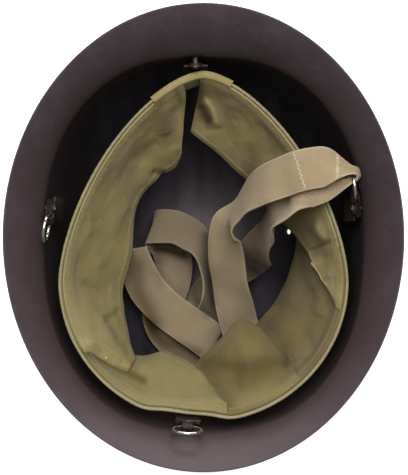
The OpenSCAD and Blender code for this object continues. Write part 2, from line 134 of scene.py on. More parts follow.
def along(knots, q):
    """A smooth curve through a list of vectors, at q counted in them."""
    i = min(max(int(q), 0), len(knots) - 2)
    t = q - i
    b, c = knots[i], knots[i + 1]
    a = knots[i - 1] if i > 0 else b * 2 - c
    d = knots[i + 2] if i < len(knots) - 2 else c * 2 - b
    return (b * 2 + (c - a) * t + (a * 2 - b * 5 + c * 4 - d) * t * t
            + (b * 3 - a - c * 3 + d) * t ** 3) / 2


def bezier(a, b, c, d, t):
    return a * (1 - t) ** 3 + b * 3 * t * (1 - t) ** 2 + c * 3 * t * t * (1 - t) + d * t ** 3


def path_length(place, steps):
    """The length of the path place(t), with t from 0 to 1, measured in straight steps."""
    spots = [place(i / steps) for i in range(steps + 1)]
    return sum((b - a).length for a, b in zip(spots, spots[1:]))


# %% Shell curves, in millimetres
STEEL = 1.2
WAIST_X, WAIST_Y, WAIST_MID, WAIST_Z = 98.5, 115.5, -4.5, 138.0
DOME_HEIGHT, DOME_POWER, CROWN_FLAT = 138.5, 2.25, 0.5
OVAL, SQUARED_OVAL = 2, 2.4  # powers of the outline: at the crown and the rim, and at the waist
BRIM_WIDTH, BRIM_HALF_LENGTH, BRIM_SWELL = 21, 140, 18
REAR_RIM, FRONT_DROP = 163.8, 5


def rim_height(a):
    return REAR_RIM - FRONT_DROP * max(0.0, math.sin(a)) ** 2


def shell_face(a, q):
    """The shell's outer face, q from 0 at the crown through 1 at the waist to 2 at the rim."""
    p = 2 / mix(OVAL, SQUARED_OVAL, q * q if q <= 1 else (2 - q) ** 2)
    x, y = signed_power(math.cos(a), p), signed_power(math.sin(a), p)
    if q <= 1:
        r = math.sin(math.pi / 2 * q) ** (2 / DOME_POWER)
        c = max(0.0, math.cos(math.pi / 2 * q)) ** (2 / DOME_POWER)
        return Vector((WAIST_X * r * x, WAIST_MID * r + WAIST_Y * r * y,
                       max(0.0, DOME_HEIGHT * (1 - c) - CROWN_FLAT)))
    s = q - 1
    return Vector(((WAIST_X + BRIM_WIDTH * s * s) * x,
                   mix(WAIST_MID, 0, s * s) + mix(WAIST_Y, BRIM_HALF_LENGTH, s * s) * y,
                   WAIST_Z + BRIM_SWELL * s * (1 - s) + s * s * (rim_height(a) - WAIST_Z)))


# %% Liner curves, in millimetres
BAND_TOP, BAND_HEIGHT, BAND_THICK = 130.0, 26.0, 3.2
BAND_HALF, BAND_FRONT, BAND_REAR, WIDEST = 89.5, 100.8, 114.3, 27.0
BAND_LEAN, BAND_POINT = 3, 1.25
REAR_DENT, DENT_X, DENT_WIDTH = 4.5, -10, 22


def band_plan(a):
    """The headband's outer face in plan, at the angle a in degrees."""
    c, s = math.cos(math.radians(a)), math.sin(math.radians(a))
    if s > 0:
        x, y = BAND_HALF * signed_power(c, BAND_POINT), (BAND_FRONT + WIDEST) * s ** BAND_POINT - WIDEST
    else:
        x, y = BAND_HALF * c, (BAND_REAR - WIDEST) * s - WIDEST
    return Vector((x, y + (REAR_DENT * plateau(x - DENT_X, DENT_WIDTH) if y < -WIDEST else 0), 0))


def band_in(a):
    """The way straight in from the headband at the angle a."""
    t = band_plan(a + 0.5) - band_plan(a - 0.5)
    return Vector((-t.y, t.x, 0)).normalized()


def band_point(a, depth, z):
    """A point at a depth inside the headband's outer face. The band leans in toward its lower edge."""
    p = band_plan(a) + band_in(a) * (depth + (BAND_TOP - z) * BAND_LEAN / BAND_HEIGHT)
    return Vector((p.x, p.y, z))


# %% [markdown]
# ## A surface from a grid
# Pressed steel and cloth are both one sheet that bends in space. Such a sheet could be a NURBS
# surface, but its points are few and its texture stretches. Here each starts as a fine flat grid whose
# points are carried to their place by a formula. The grid's own flat shape is kept as a UV map in
# metres, so that a weave follows the cloth round every fold. A relief, in millimetres along the
# surface's normal, then adds folds and puckers.

# %% Helper: surface from a grid
def surface(columns, rows, place, size, closed=False, faces=None, relief=None):
    """A bmesh grid laid over place(u, v), in millimetres. size is its flat size in metres, and
    faces(point) gives the way that its normal should point."""
    bm = bmesh.new()
    bmesh.ops.create_grid(bm, x_segments=columns, y_segments=rows, size=0.5)
    uv = bm.loops.layers.uv.new("cloth")
    flat = {}
    for face in bm.faces:
        for loop in face.loops:
            u, v = loop.vert.co.x + 0.5, loop.vert.co.y + 0.5
            loop[uv].uv = (u * size[0], v * size[1])
            flat[loop.vert] = (u, v)
    for vert, (u, v) in flat.items():
        vert.co = place(u, v) * MM
    if closed:
        bmesh.ops.remove_doubles(bm, verts=bm.verts, dist=1e-7)
    bmesh.ops.recalc_face_normals(bm, faces=bm.faces)
    bm.normal_update()
    if faces:
        agree = sum(v.normal.dot(faces(v.co / MM)) for v in bm.verts)
        if agree < 0:
            bmesh.ops.reverse_faces(bm, faces=bm.faces)
            bm.normal_update()
    if relief:
        shift = [(v, v.normal * relief(*flat[v], v.co / MM) * MM) for v in bm.verts]
        for vert, step in shift:
            vert.co += step
        bm.normal_update()
    return bm


def to_object(bm, name):
    """Makes a smooth-shaded object of a bmesh, at the origin."""
    mesh = bpy.data.meshes.new(name)
    for face in bm.faces:
        face.smooth = True
    bm.to_mesh(mesh)
    bm.free()
    piece = bpy.data.objects.new(name, mesh)
    bpy.context.scene.collection.objects.link(piece)
    return piece


def round_edges(piece, width, segments, angle):
    """Rounds the edges that are sharper than an angle in degrees."""
    bevel = piece.modifiers.new("edge", "BEVEL")
    bevel.width = width * MM
    bevel.segments = segments
    bevel.limit_method = "ANGLE"
    bevel.angle_limit = math.radians(angle)
    return bevel


def thicken(piece, thickness, offset=0.0, edge=0.0, segments=2):
    """Gives a sheet its thickness in millimetres, and rounds its edges."""
    solid = piece.modifiers.new("thickness", "SOLIDIFY")
    solid.thickness = thickness * MM
    solid.offset = offset
    if edge:
        round_edges(piece, edge, segments, 50)
    return piece


# %% [markdown]
# ## Materials: small helpers
# A material is a tree of nodes. The editor is the usual place to wire one, but a script can be read
# from top to bottom. These helpers add a node with its inputs in one line, and make a node group
# whose sockets have plain names, so that one effect can serve several materials.

# %% Helper: nodes
def add(tree, kind, inputs=None, **settings):
    """Adds a node. An input is a value, or another node's output socket."""
    node = tree.nodes.new(kind)
    for key, value in settings.items():
        setattr(node, key, value)
    for key, value in (inputs or {}).items():
        if isinstance(value, bpy.types.NodeSocket):
            tree.links.new(value, node.inputs[key])
        else:
            node.inputs[key].default_value = value
    return node


def connect(tree, node, sockets):
    """Links output sockets to the node's inputs of the names given."""
    for label, socket in sockets.items():
        tree.links.new(socket, node.inputs[label])


def calculate(tree, operation, a, b=0.0):
    return add(tree, "ShaderNodeMath", {0: a, 1: b}, operation=operation).outputs[0]


def times(tree, a, b):
    return calculate(tree, "MULTIPLY", a, b)


def on_vectors(tree, operation, inputs):
    return add(tree, "ShaderNodeVectorMath", inputs, operation=operation).outputs


def axes_of(tree, vector):
    return add(tree, "ShaderNodeSeparateXYZ", {0: vector}).outputs


def stretch(tree, place, **settings):
    """Scales and turns a place, so that the noise on it is drawn out into streaks."""
    inputs = {key.capitalize(): value for key, value in settings.items()}
    return add(tree, "ShaderNodeMapping", {"Vector": place, **inputs}).outputs[0]


def soft_noise(tree, place, scale, detail, roughness=0.5):
    inputs = {"Vector": place, "Scale": scale, "Detail": detail, "Roughness": roughness}
    return add(tree, "ShaderNodeTexNoise", inputs).outputs[0]


def ramp_between(tree, value, low, high):
    """0 below low, 1 above high."""
    return add(tree, "ShaderNodeMapRange", {"Value": value, "From Min": low, "From Max": high}).outputs[0]


def range_to(tree, value, low, high):
    """low where the value is 0, high where it is 1."""
    return add(tree, "ShaderNodeMapRange", {"Value": value, "To Min": low, "To Max": high}).outputs[0]


def blend_colour(tree, factor, a, b):
    return add(tree, "ShaderNodeMix", {0: factor, 6: a, 7: b}, data_type="RGBA").outputs[2]


def new_group(name, inputs, outputs):
    """A shader node group. Inputs and outputs are (socket type, name, default) and (type, name)."""
    tree = bpy.data.node_groups.new(name, "ShaderNodeTree")
    for kind, label, default in inputs:
        socket = tree.interface.new_socket(name=label, in_out="INPUT", socket_type=kind)
        socket.default_value = default
    for kind, label in outputs:
        tree.interface.new_socket(name=label, in_out="OUTPUT", socket_type=kind)
    return tree, tree.nodes.new("NodeGroupInput").outputs, tree.nodes.new("NodeGroupOutput")


def use_group(tree, group, inputs):
    return add(tree, "ShaderNodeGroup", inputs, node_tree=group).outputs


FLOAT, VECTOR, COLOUR = "NodeSocketFloat", "NodeSocketVector", "NodeSocketColor"

# %% [markdown]
# ## Weave, uneven colour and dust
# Cotton canvas and webbing are plain weaves: each thread goes over one and under the next. A picture
# of cloth would do for one view, but it blurs up close. The group below makes the height of such a
# weave from two sine waves at right angles, sharp at any distance. A second group makes colour uneven
# in large soft patches and fine grain, as sun, sweat and handling do. A third gives a mask of dust
# that settles on whatever faces up.

# %% Node group: plain weave
weave, given, result = new_group(
    "Plain weave", [(VECTOR, "Position", (0, 0, 0)), (FLOAT, "Threads per metre", 1500.0)],
    [(FLOAT, "Height"), (FLOAT, "Gaps")])
turns = times(weave, given["Threads per metre"], math.pi)
cells = axes_of(weave, on_vectors(weave, "SCALE", {0: given["Position"], "Scale": turns})[0])
wave_x, wave_y = calculate(weave, "SINE", cells[0]), calculate(weave, "SINE", cells[1])
round_x, round_y = calculate(weave, "ABSOLUTE", wave_x), calculate(weave, "ABSOLUTE", wave_y)
over = calculate(weave, "GREATER_THAN", times(weave, wave_x, wave_y), 0.0)
thread_height = add(weave, "ShaderNodeMix", {"Factor": over, "A": round_y, "B": round_x}).outputs[0]
gaps = calculate(weave, "SUBTRACT", 1.0, calculate(weave, "MAXIMUM", round_x, round_y))
connect(weave, result, {"Height": thread_height, "Gaps": gaps})

# %% Node group: uneven colour
uneven, given, result = new_group(
    "Uneven colour",
    [(VECTOR, "Position", (0, 0, 0)), (COLOUR, "Colour", (0.5, 0.5, 0.5, 1)),
     (COLOUR, "Patches", (0.3, 0.3, 0.3, 1)), (FLOAT, "Patch scale", 30.0), (FLOAT, "Patch amount", 0.5),
     (FLOAT, "Grain scale", 900.0), (FLOAT, "Grain amount", 0.1)],
    [(COLOUR, "Colour"), (FLOAT, "Patch mask"), (FLOAT, "Grain")])
cloudy = soft_noise(uneven, given["Position"], given["Patch scale"], 4.0, 0.6)
grainy = soft_noise(uneven, given["Position"], given["Grain scale"], 2.0, 0.6)
patch_mask = ramp_between(uneven, cloudy, 0.38, 0.68)
patch_share = times(uneven, patch_mask, given["Patch amount"])
patched = blend_colour(uneven, patch_share, given["Colour"], given["Patches"])
from_middle = calculate(uneven, "SUBTRACT", grainy, 0.5)
swing = times(uneven, from_middle, times(uneven, given["Grain amount"], 2.0))
strength = calculate(uneven, "ADD", 1.0, swing)
grained = on_vectors(uneven, "SCALE", {0: patched, "Scale": strength})[0]
connect(uneven, result, {"Colour": grained, "Patch mask": patch_mask, "Grain": grainy})

# %% Node group: dust
dust, given, result = new_group(
    "Dust", [(VECTOR, "Position", (0, 0, 0)), (FLOAT, "Scale", 60.0), (FLOAT, "Amount", 0.3)],
    [(FLOAT, "Mask")])
facing_up = axes_of(dust, dust.nodes.new("ShaderNodeNewGeometry").outputs["Normal"])[2]
specks = soft_noise(dust, given["Position"], given["Scale"], 6.0, 0.7)
settled = times(dust, ramp_between(dust, facing_up, 0.2, 1.0), ramp_between(dust, specks, 0.45, 0.75))
connect(dust, result, {"Mask": times(dust, settled, given["Amount"])})
print("node groups:", len(bpy.data.node_groups))


# %% Helper: a material
def new_material(name, **constants):
    """A material with its Principled shader. Values that are the same all over are set on its sockets."""
    material = bpy.data.materials.new(name)
    material.use_nodes = True
    tree = material.node_tree
    shader = tree.nodes["Principled BSDF"]
    for key, value in constants.items():
        shader.inputs[key.replace("_", " ")].default_value = value
    return material, tree, shader, tree.nodes.new("ShaderNodeTexCoord").outputs


def tone_of(tree, place, colour, patches, patch, grain):
    """Places the uneven colour group. patch and grain are each a scale and an amount."""
    return use_group(tree, uneven, {"Position": place, "Colour": (*colour, 1), "Patches": (*patches, 1),
                     "Patch scale": patch[0], "Patch amount": patch[1],
                     "Grain scale": grain[0], "Grain amount": grain[1]})


def bump(tree, shader, height, distance, strength=1.0):
    node = add(tree, "ShaderNodeBump", {"Height": height, "Distance": distance, "Strength": strength})
    connect(tree, shader, {"Normal": node.outputs[0]})


# %% [markdown]
# ## Paint
# The shell wears a dark brown satin paint, a little violet, thin enough to show the fine texture of
# the pressed steel. A few reddish scratches cross it and its edge is rubbed. The inside of the brim
# is darkened toward the front with painted shade. Deep in the bowl the paint is darker and bluer,
# painted shade, with streaks of painted reflection. One colour with one roughness would look like
# new plastic, so each of these is a mask that mixes in its own colour, from the base upward.

# %% Material: shell paint
VIOLET_BROWN, FADED_BROWN = (0.0365, 0.0228, 0.0258), (0.028, 0.018, 0.021)
paint, tree, shader, coords = new_material("shell_paint", Specular_IOR_Level=0.62,
                                          Specular_Tint=(1.0, 0.84, 0.865, 1))
place = coords["Object"]
axes = axes_of(tree, place)
tone = tone_of(tree, place, VIOLET_BROWN, FADED_BROWN, patch=(22.0, 0.6), grain=(1400.0, 0.14))
drawn_out = stretch(tree, place, rotation=(0.3, 0.2, 0.7), scale=(60, 900, 300))
scratch_noise = soft_noise(tree, drawn_out, 1.0, 1.0)
scratches = times(tree, ramp_between(tree, scratch_noise, 0.70, 0.76), tone["Patch mask"])
painted = blend_colour(tree, times(tree, scratches, 0.5), tone["Colour"], (0.16, 0.07, 0.06, 1))
up_the_wall = axes_of(tree, coords["UV"])[1]  # from 0 at the crown to 2 at the rim
rub_noise = ramp_between(tree, soft_noise(tree, place, 160.0, 4.0), 0.45, 0.6)
rubbed = times(tree, ramp_between(tree, up_the_wall, 1.982, 2.0), rub_noise)
painted = blend_colour(tree, times(tree, rubbed, 0.6), painted, (0.03, 0.024, 0.026, 1))
# Painted shade: the inside of the front of the bowl and brim is darkened, as if in shadow.
front_brim_painted_shade = times(tree, ramp_between(tree, axes[1], -0.02, 0.12), ramp_between(tree, up_the_wall, 2.15, 1.6))
painted = blend_colour(tree, times(tree, front_brim_painted_shade, 0.58), painted, (0.007, 0.006, 0.007, 1))

# %% Material: painted shade and painted reflection streaks deep in the bowl, and the finish
to_opening = on_vectors(tree, "SUBTRACT", {0: (0, 0, 0.14), 1: place})[0]
turned_in = on_vectors(tree, "DOT_PRODUCT", {0: to_opening, 1: coords["Normal"]})["Value"]
inside = calculate(tree, "GREATER_THAN", turned_in, 0.0)
# Painted shade: below 125 mm the paint inside the bowl darkens, and the streaks mixed into it are painted
# reflections.
bowl_painted_shade = times(tree, inside, ramp_between(tree, axes[2], 0.125, 0.085))
reflection_streak_noise = soft_noise(tree, stretch(tree, place, scale=(75, 11, 11)), 1.0, 1.5)
painted_reflection_streaks = ramp_between(tree, reflection_streak_noise, 0.42, 0.60)
bowl_shade_colour = blend_colour(tree, painted_reflection_streaks, (0.005, 0.005, 0.006, 1), (0.017, 0.017, 0.0245, 1))
painted = blend_colour(tree, bowl_painted_shade, painted, bowl_shade_colour)
dusty = use_group(tree, dust, {"Position": place, "Scale": 45.0, "Amount": 0.10})["Mask"]
connect(tree, shader, {"Base Color": blend_colour(tree, dusty, painted, (0.2, 0.19, 0.2, 1)),
                       "Roughness": range_to(tree, tone["Grain"], 0.42, 0.62)})
bump(tree, shader, soft_noise(tree, place, 420.0, 3.0), 0.00025, 0.35)


# %% [markdown]
# ## Cloth
# The liner is olive khaki canvas, painted darker and browner at the rear as shade, and the chin tape
# is a lighter tan webbing that is painted darker with shade where it lies deep in the bowl. All of
# them are the weave group over a UV map in metres, with uneven colour, and the gaps between the
# threads are darkened with painted shade. Stains could be noise too, but the photograph shows where
# they are, so a number kept on each vertex darkens the cloth with its stains and with painted shade
# in its hollows and folds, and where it is below zero paints a highlight that makes it paler. The
# webbing's woven edges are painted paler as a highlight. A soft sheen stands for the fine loose
# fibres that catch the light at grazing angles.

# %% Materials: canvas and webbing
TAPE_MIDDLE, EDGE_START, EDGE_FULL = 0.0125, 0.0113, 0.0118  # across the webbing, in metres
SHADE_AND_STAIN_TINT = (0.56, 0.6, 0.67)  # how much red, green and blue a full stain or full painted shade takes away


def cloth_material(name, colour, patches, patch_scale, threads=1450.0, depth=0.00022, sheen=0.08,
                   depth_shade=0.25, depth_shade_heights=(0.085, 0.06), edge_highlight=0.0):
    material, tree, shader, coords = new_material(name, Roughness=0.92, Sheen_Weight=sheen,
                                                  Sheen_Roughness=0.5, Specular_IOR_Level=0.1)
    tone = tone_of(tree, coords["Object"], colour, patches, patch=(patch_scale, 0.55), grain=(700.0, 0.16))
    woven = use_group(tree, weave, {"Position": coords["UV"], "Threads per metre": threads})
    # Painted shade: the gaps between the threads are darkened.
    cloth = blend_colour(tree, times(tree, woven["Gaps"], 0.5), tone["Colour"], (0.04, 0.032, 0.018, 1))
    # Painted highlight: the webbing's two edges are painted paler.
    off_middle = calculate(tree, "SUBTRACT", axes_of(tree, coords["UV"])[1], TAPE_MIDDLE)
    at_edge = ramp_between(tree, calculate(tree, "ABSOLUTE", off_middle), EDGE_START, EDGE_FULL)
    cloth = blend_colour(tree, times(tree, at_edge, edge_highlight), cloth, (0.58, 0.50, 0.36, 1))
    # Painted shade: the cloth darkens toward the bottom of the bowl, below the upper of the two heights.
    low_down = ramp_between(tree, axes_of(tree, coords["Object"])[2], *depth_shade_heights)
    cloth = blend_colour(tree, times(tree, low_down, depth_shade), cloth, (0.03, 0.024, 0.018, 1))
    # The number kept on each vertex darkens the cloth with stains and painted shade, and below zero paints
    # a highlight.
    shade_and_stain = add(tree, "ShaderNodeAttribute", attribute_name="shade_and_stain").outputs["Fac"]
    lost = on_vectors(tree, "SCALE", {0: SHADE_AND_STAIN_TINT, "Scale": shade_and_stain})[0]
    kept = on_vectors(tree, "SUBTRACT", {0: (1, 1, 1), 1: lost})[0]
    connect(tree, shader, {"Base Color": on_vectors(tree, "MULTIPLY", {0: cloth, 1: kept})[0]})
    bump(tree, shader, calculate(tree, "ADD", woven["Height"], times(tree, tone["Grain"], 0.6)), depth, 0.6)
    return material


# One canvas at three brightnesses, painted light and shade: palest for the side flaps, darker for the
# turned flap, darkest for the rear flap and tongue.
canvas = cloth_material("canvas", (0.352, 0.280, 0.124), (0.262, 0.205, 0.084), 28.0)
canvas_turned = cloth_material("canvas_turned", (0.258, 0.209, 0.088), (0.192, 0.155, 0.060), 28.0)
canvas_shaded = cloth_material("canvas_shaded", (0.190, 0.145, 0.058), (0.130, 0.094, 0.037), 34.0)
canvas_edge = cloth_material("canvas_edge", (0.37, 0.32, 0.175), (0.30, 0.26, 0.135), 60.0)
webbing = cloth_material("webbing", (0.405, 0.306, 0.185), (0.330, 0.246, 0.146), 40.0, threads=1250.0,
                         depth=0.0003, sheen=0.12, depth_shade=0.55, depth_shade_heights=(0.066, 0.03), edge_highlight=0.28)


# %% [markdown]
# ## Thread, leather, plating and darkened steel
# Sewing thread has fine ridges across it. The hangers are oiled brown leather with a pebbled grain,
# painted nearly black: partly the leather's own dark brown, partly painted shade for the dark gap
# where they hang.
# The rings are bright nickel over steel wire, with fine pitting. The split rivets and washers are
# dark, a little rusty steel. They differ in their numbers and hardly in their nodes, so one function
# makes them all, and the leather adds a pattern of cells for its pebbles.

# %% Materials: thread, leather and metal
def toned_material(name, colour, patches, patch, grain, relief, rough=None, rough_by="Grain",
                   pebbled=False, **constants):
    """One uneven colour. relief is the bump's distance and strength, and rough the lowest and highest
    roughness, which follows one of the uneven colour group's outputs."""
    material, tree, shader, coords = new_material(name, **constants)
    tone = tone_of(tree, coords["Object"], colour, patches, patch, grain)
    connect(tree, shader, {"Base Color": tone["Colour"]})
    if rough:
        connect(tree, shader, {"Roughness": range_to(tree, tone[rough_by], *rough)})
    height = tone["Grain"]
    if pebbled:
        inputs = {"Vector": coords["Object"], "Scale": 900.0}
        pebbles = add(tree, "ShaderNodeTexVoronoi", inputs, feature="DISTANCE_TO_EDGE").outputs[0]
        height = ramp_between(tree, pebbles, 0.0, 0.25)
    bump(tree, shader, height, *relief)
    return material


def thread_material(name, colour):
    return toned_material(name, colour, [c * 0.7 for c in colour], (250.0, 0.8), (4000.0, 0.3),
                          (0.0001, 1.0), Roughness=0.8, Sheen_Weight=0.3)


cream_thread = thread_material("cream_thread", (0.62, 0.52, 0.30))
tan_thread = thread_material("tan_thread", (0.30, 0.25, 0.12))
white_thread = thread_material("white_thread", (0.75, 0.75, 0.70))
rust_thread = thread_material("rust_thread", (0.42, 0.14, 0.04))
# Painted shade: the leather's colour is nearly black, darker than oiled brown leather, for the hangers'
# dark gap.
leather = toned_material(
    "leather", (0.022, 0.013, 0.010), (0.012, 0.008, 0.006), patch=(120.0, 0.8), grain=(1500.0, 0.3),
    relief=(0.0001, 0.7), rough=(0.4, 0.7), pebbled=True, Specular_IOR_Level=0.3)
nickel = toned_material(
    "nickel", (0.80, 0.79, 0.75), (0.68, 0.66, 0.61), patch=(300.0, 0.6), grain=(3000.0, 0.1),
    relief=(0.00002, 0.3), rough=(0.14, 0.22), rough_by="Patch mask", Metallic=1.0)
dark_steel = toned_material(
    "dark_steel", (0.07, 0.062, 0.06), (0.05, 0.03, 0.02), patch=(380.0, 0.8), grain=(2600.0, 0.35),
    relief=(0.0001, 0.5), rough=(0.35, 0.65), Metallic=0.85)
fibre = toned_material(
    "stiffener_fibre", (0.16, 0.11, 0.06), (0.1, 0.07, 0.04), patch=(90.0, 0.7), grain=(1600.0, 0.3),
    relief=(0.0001, 0.5), Roughness=0.8)
print("materials:", len(bpy.data.materials))


# %% Helper: dressing a piece
def dress(piece, material, node_names=(), body="helmet", ride=True):
    """Gives a piece its material, lets it ride on its body and stand for CAD nodes."""
    piece.data.materials.clear()
    piece.data.materials.append(material)
    if ride:
        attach(piece, body)
    if node_names:
        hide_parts(*node_names)
    return piece


# %% [markdown]
# ## The pressed shell
# The real shell is one disc of steel pressed into a bowl and flared into a brim. A spun profile would
# give a round bowl, and this one is an oval that changes on its way up. So it is one fine grid from
# the crown to the rim, given its 1.2 mm wall on the inside. The two vents and the four rivet bores
# are cut with a Boolean, which is the plain way to make a round hole in a curved sheet.

# %% Shell: grid and wall
SHELL_COLUMNS, SHELL_ROWS, CROWN_SPOT = 192, 72, 0.02


def shell_place(u, v):
    """The first rows all lie on the crown's middle, where they are merged."""
    return shell_face(2 * math.pi * u, 2 * v if v > CROWN_SPOT else 0.0)


bm = surface(SHELL_COLUMNS, SHELL_ROWS, shell_place, (2.0, 2.0), closed=True,
             faces=lambda p: p - Vector((0, 0, 200)))
steel_bowl = to_object(bm, "steel_bowl")
thicken(steel_bowl, STEEL, offset=-1.0, edge=0.4, segments=3)

# %% Shell: where the holes lie
RIVET_Z, SIDE_RIVET_Y, FRONT_RIVET_LEFT, REAR_RIVET_LEFT, BORE = 134.0, 18, 5, 10, 4.4
VENT_X, VENT_TURN, VENT = 58, math.radians(5), 3.6
DRILL_LENGTH = 12


def turn_for(distance, radius):
    """The angle at which the outline near the waist is a distance away from its long or cross axis."""
    return math.asin((distance / radius) ** (SQUARED_OVAL / 2))


def wall_normal(a, q):
    across = shell_face(a + 0.01, q) - shell_face(a - 0.01, q)
    up = shell_face(a, q + 0.01) - shell_face(a, q - 0.01)
    return across.cross(up).normalized()


side_turn = turn_for(SIDE_RIVET_Y - WAIST_MID, WAIST_Y)
rivet_q = math.acos((1 - (RIVET_Z + CROWN_FLAT) / DOME_HEIGHT) ** (DOME_POWER / 2)) / (math.pi / 2)
vent_q = math.asin((VENT_X / WAIST_X) ** (DOME_POWER / 2)) / (math.pi / 2)
rivet_turns = [math.pi / 2 + turn_for(FRONT_RIVET_LEFT, WAIST_X), math.pi - side_turn, side_turn,
               1.5 * math.pi - turn_for(REAR_RIVET_LEFT, WAIST_X)]
hole_places = [(a, rivet_q, BORE) for a in rivet_turns]
hole_places += [(a, vent_q, VENT) for a in (VENT_TURN, math.pi - VENT_TURN)]
print("shell:", len(hole_places), "holes")

# %% Shell: cut the holes
drills = bmesh.new()
for a, q, width in hole_places:
    out = wall_normal(a, q)
    if q == rivet_q:
        out = Vector((out.x, out.y, 0)).normalized()  # rivets lie level
    spot = Matrix.Translation(shell_face(a, q) * MM) @ out.to_track_quat("Z", "Y").to_matrix().to_4x4()
    bmesh.ops.create_cone(drills, cap_ends=True, segments=32, radius1=width / 2 * MM,
                          radius2=width / 2 * MM, depth=DRILL_LENGTH * MM, matrix=spot)
cutter = to_object(drills, "hole_cutter")
holes = steel_bowl.modifiers.new("holes", "BOOLEAN")
holes.object = cutter
holes.operation = "DIFFERENCE"
holes.solver = "EXACT"
steel_bowl.modifiers.move(2, 1)  # ahead of the bevel, which then rounds the holes as well
bpy.context.view_layer.update()
evaluated = steel_bowl.evaluated_get(bpy.context.evaluated_depsgraph_get())
finished = bpy.data.meshes.new_from_object(evaluated)
steel_bowl.modifiers.clear()
steel_bowl.data = finished
bpy.data.objects.remove(cutter)
dress(steel_bowl, paint, ["steel_shell"])
print("shell:", len(steel_bowl.data.polygons), "faces")

# %% [markdown]
# ## Folds, painted shading and stains
# Cloth is never smooth: it creases where it was folded and puckers along a seam. Folds can be sculpted
# by hand or left to a cloth simulation, but neither brings them to where the photograph has them. So
# each fold is a line through pixels of the photograph with a width and a height, and three sizes of
# gentle noise add the unevenness between them. Painted shade in hollows and folds, painted highlights
# and stains are drawn in the same way.


# %% Helper: lines drawn on cloth
def near_line(px, py, line):
    """Distance in pixels to a line of points, and how far along it that is, from 0 to 1."""
    best, where, total = 1e9, 0.0, len(line) - 1
    for i in range(total):
        (ax, ay), (bx, by) = line[i], line[i + 1]
        dx, dy = bx - ax, by - ay
        t = min(1.0, max(0.0, ((px - ax) * dx + (py - ay) * dy) / (dx * dx + dy * dy)))
        d = math.hypot(px - ax - dx * t, py - ay - dy * t)
        if d < best:
            best, where = d, (i + t) / total
    return best, where


def drawn(point, lines, fading=False):
    """Sums, at a point, lines given as (points, width in pixels, amount). Fading ones end softly."""
    px, py = to_pixel(point)
    total = 0.0
    for line, width, amount in lines:
        d, t = near_line(px, py, line)
        if d < 3 * width:
            total += amount * bell(d, width) * (smooth(min(t, 1 - t) * 5 + 0.15) if fading else 1)
    return total


def add_shade_and_stains(bm, shade_and_stains):
    """Keeps a number on each vertex for stains and painted shade: above 0 the cloth is darker, below 0 a
    painted highlight makes it paler, and at 1.4 it is nearly black.
    """
    layer = bm.verts.layers.float.new("shade_and_stain")
    for vert in bm.verts:
        vert[layer] = min(1.4, max(-1.0, drawn(vert.co / MM, shade_and_stains)))


def ripple(point, size, height, seed=0.0):
    return noise.noise(point / size + Vector((seed, seed * 1.7, 0))) * height


# %% [markdown]
# ## The headband's sleeve
# The headband is a canvas sleeve folded over a strip of fibre. Its top edge is a tight rounded fold,
# and the whole sleeve is a paler canvas than the flaps. Inside it a step makes room for the tops of the
# flaps.
# A curve with a bevel profile could sweep this section round the head, but it would have no flat map
# for the weave. So one grid follows the section up the outside, over the top and down the inside,
# and goes once round the head.

# %% Headband
SLEEVE_LOW, SLEEVE_WIDTH, SLEEVE_PUCKERS = 104.3, 0.052, 170
FOLD_START, FOLD_END = 0.3, 0.7
BAND_FOLD = points((0.45, 0, 128.2), (0.5, 0, 129.0), (0.85, 0, 129.5), (1.3, 0, 129.6), (1.75, 0, 129.3),
                   (1.95, 0, 128.6), (2.05, 0, 127.6), (2.3, 0, 126.9), (2.6, 0, 126.0))


def band_place(u, v):
    """v runs from 0 at the outer lower edge, over the top fold, to 1 at the inner lower edge."""
    outer, inner = BAND_FOLD[0], BAND_FOLD[-1]
    if v < FOLD_START:
        return band_point(360 * u, outer.x, mix(SLEEVE_LOW, outer.z, v / FOLD_START))
    if v > FOLD_END:
        return band_point(360 * u, inner.x, mix(inner.z, SLEEVE_LOW, (v - FOLD_END) / (1 - FOLD_END)))
    p = along(BAND_FOLD, (v - FOLD_START) / (FOLD_END - FOLD_START) * (len(BAND_FOLD) - 1))
    return band_point(360 * u, p.x, p.z)


def band_relief(u, v, point):
    top = bell(v - 0.45, 0.12)
    pucker = 0.14 * math.sin(u * 2 * math.pi * SLEEVE_PUCKERS + 3 * noise.noise(point / 9))
    return (pucker + ripple(point, 14, 0.3, 3)) * top


band_length = path_length(lambda t: band_plan(360 * t), 360) * MM
bm = surface(600, 80, band_place, (band_length, SLEEVE_WIDTH), closed=True,
             faces=lambda p: Vector((0, 0, 1 if p.z > 129 else 0)), relief=band_relief)
band_tree = BVHTree.FromBMesh(bm)
band_sleeve = thicken(to_object(bm, "band_sleeve"), 0.9, offset=-0.6)
dress(band_sleeve, canvas_edge, ["headband"])
print("headband is", round(band_length, 3), "m round")


# %% [markdown]
# ## The patch at the front
# A second layer of canvas is folded over the headband at the front, where a helmet is gripped. It
# could be raised on the sleeve's own grid. As a sheet of its own it also shows its cut edges.

# %% Front patch
PATCH_FROM, PATCH_TO, PATCH_DEPTH = 74, 116, 0.025
PATCH_PATH = points((-0.8, 0, 110.4), (-0.8, 0, 120), (-0.8, 0, 129.0), (-0.2, 0, 130.2), (1.2, 0, 130.6),
                    (2.5, 0, 130.4), (3.1, 0, 129.8))


def patch_place(u, v):
    p = along(PATCH_PATH, v * (len(PATCH_PATH) - 1))
    return band_point(mix(PATCH_FROM, PATCH_TO, u), p.x, p.z)


patch_width = path_length(lambda t: patch_place(t, 0), 40) * MM
bm = surface(120, 30, patch_place, (patch_width, PATCH_DEPTH), faces=lambda p: Vector((0, 1, 1)),
             relief=lambda u, v, p: ripple(p, 12, 0.3, 5))
front_cloth = thicken(to_object(bm, "front_cloth"), 0.8, edge=0.25)
dress(front_cloth, canvas, ["front_patch"])
print("front patch is", round(patch_width, 3), "m wide")


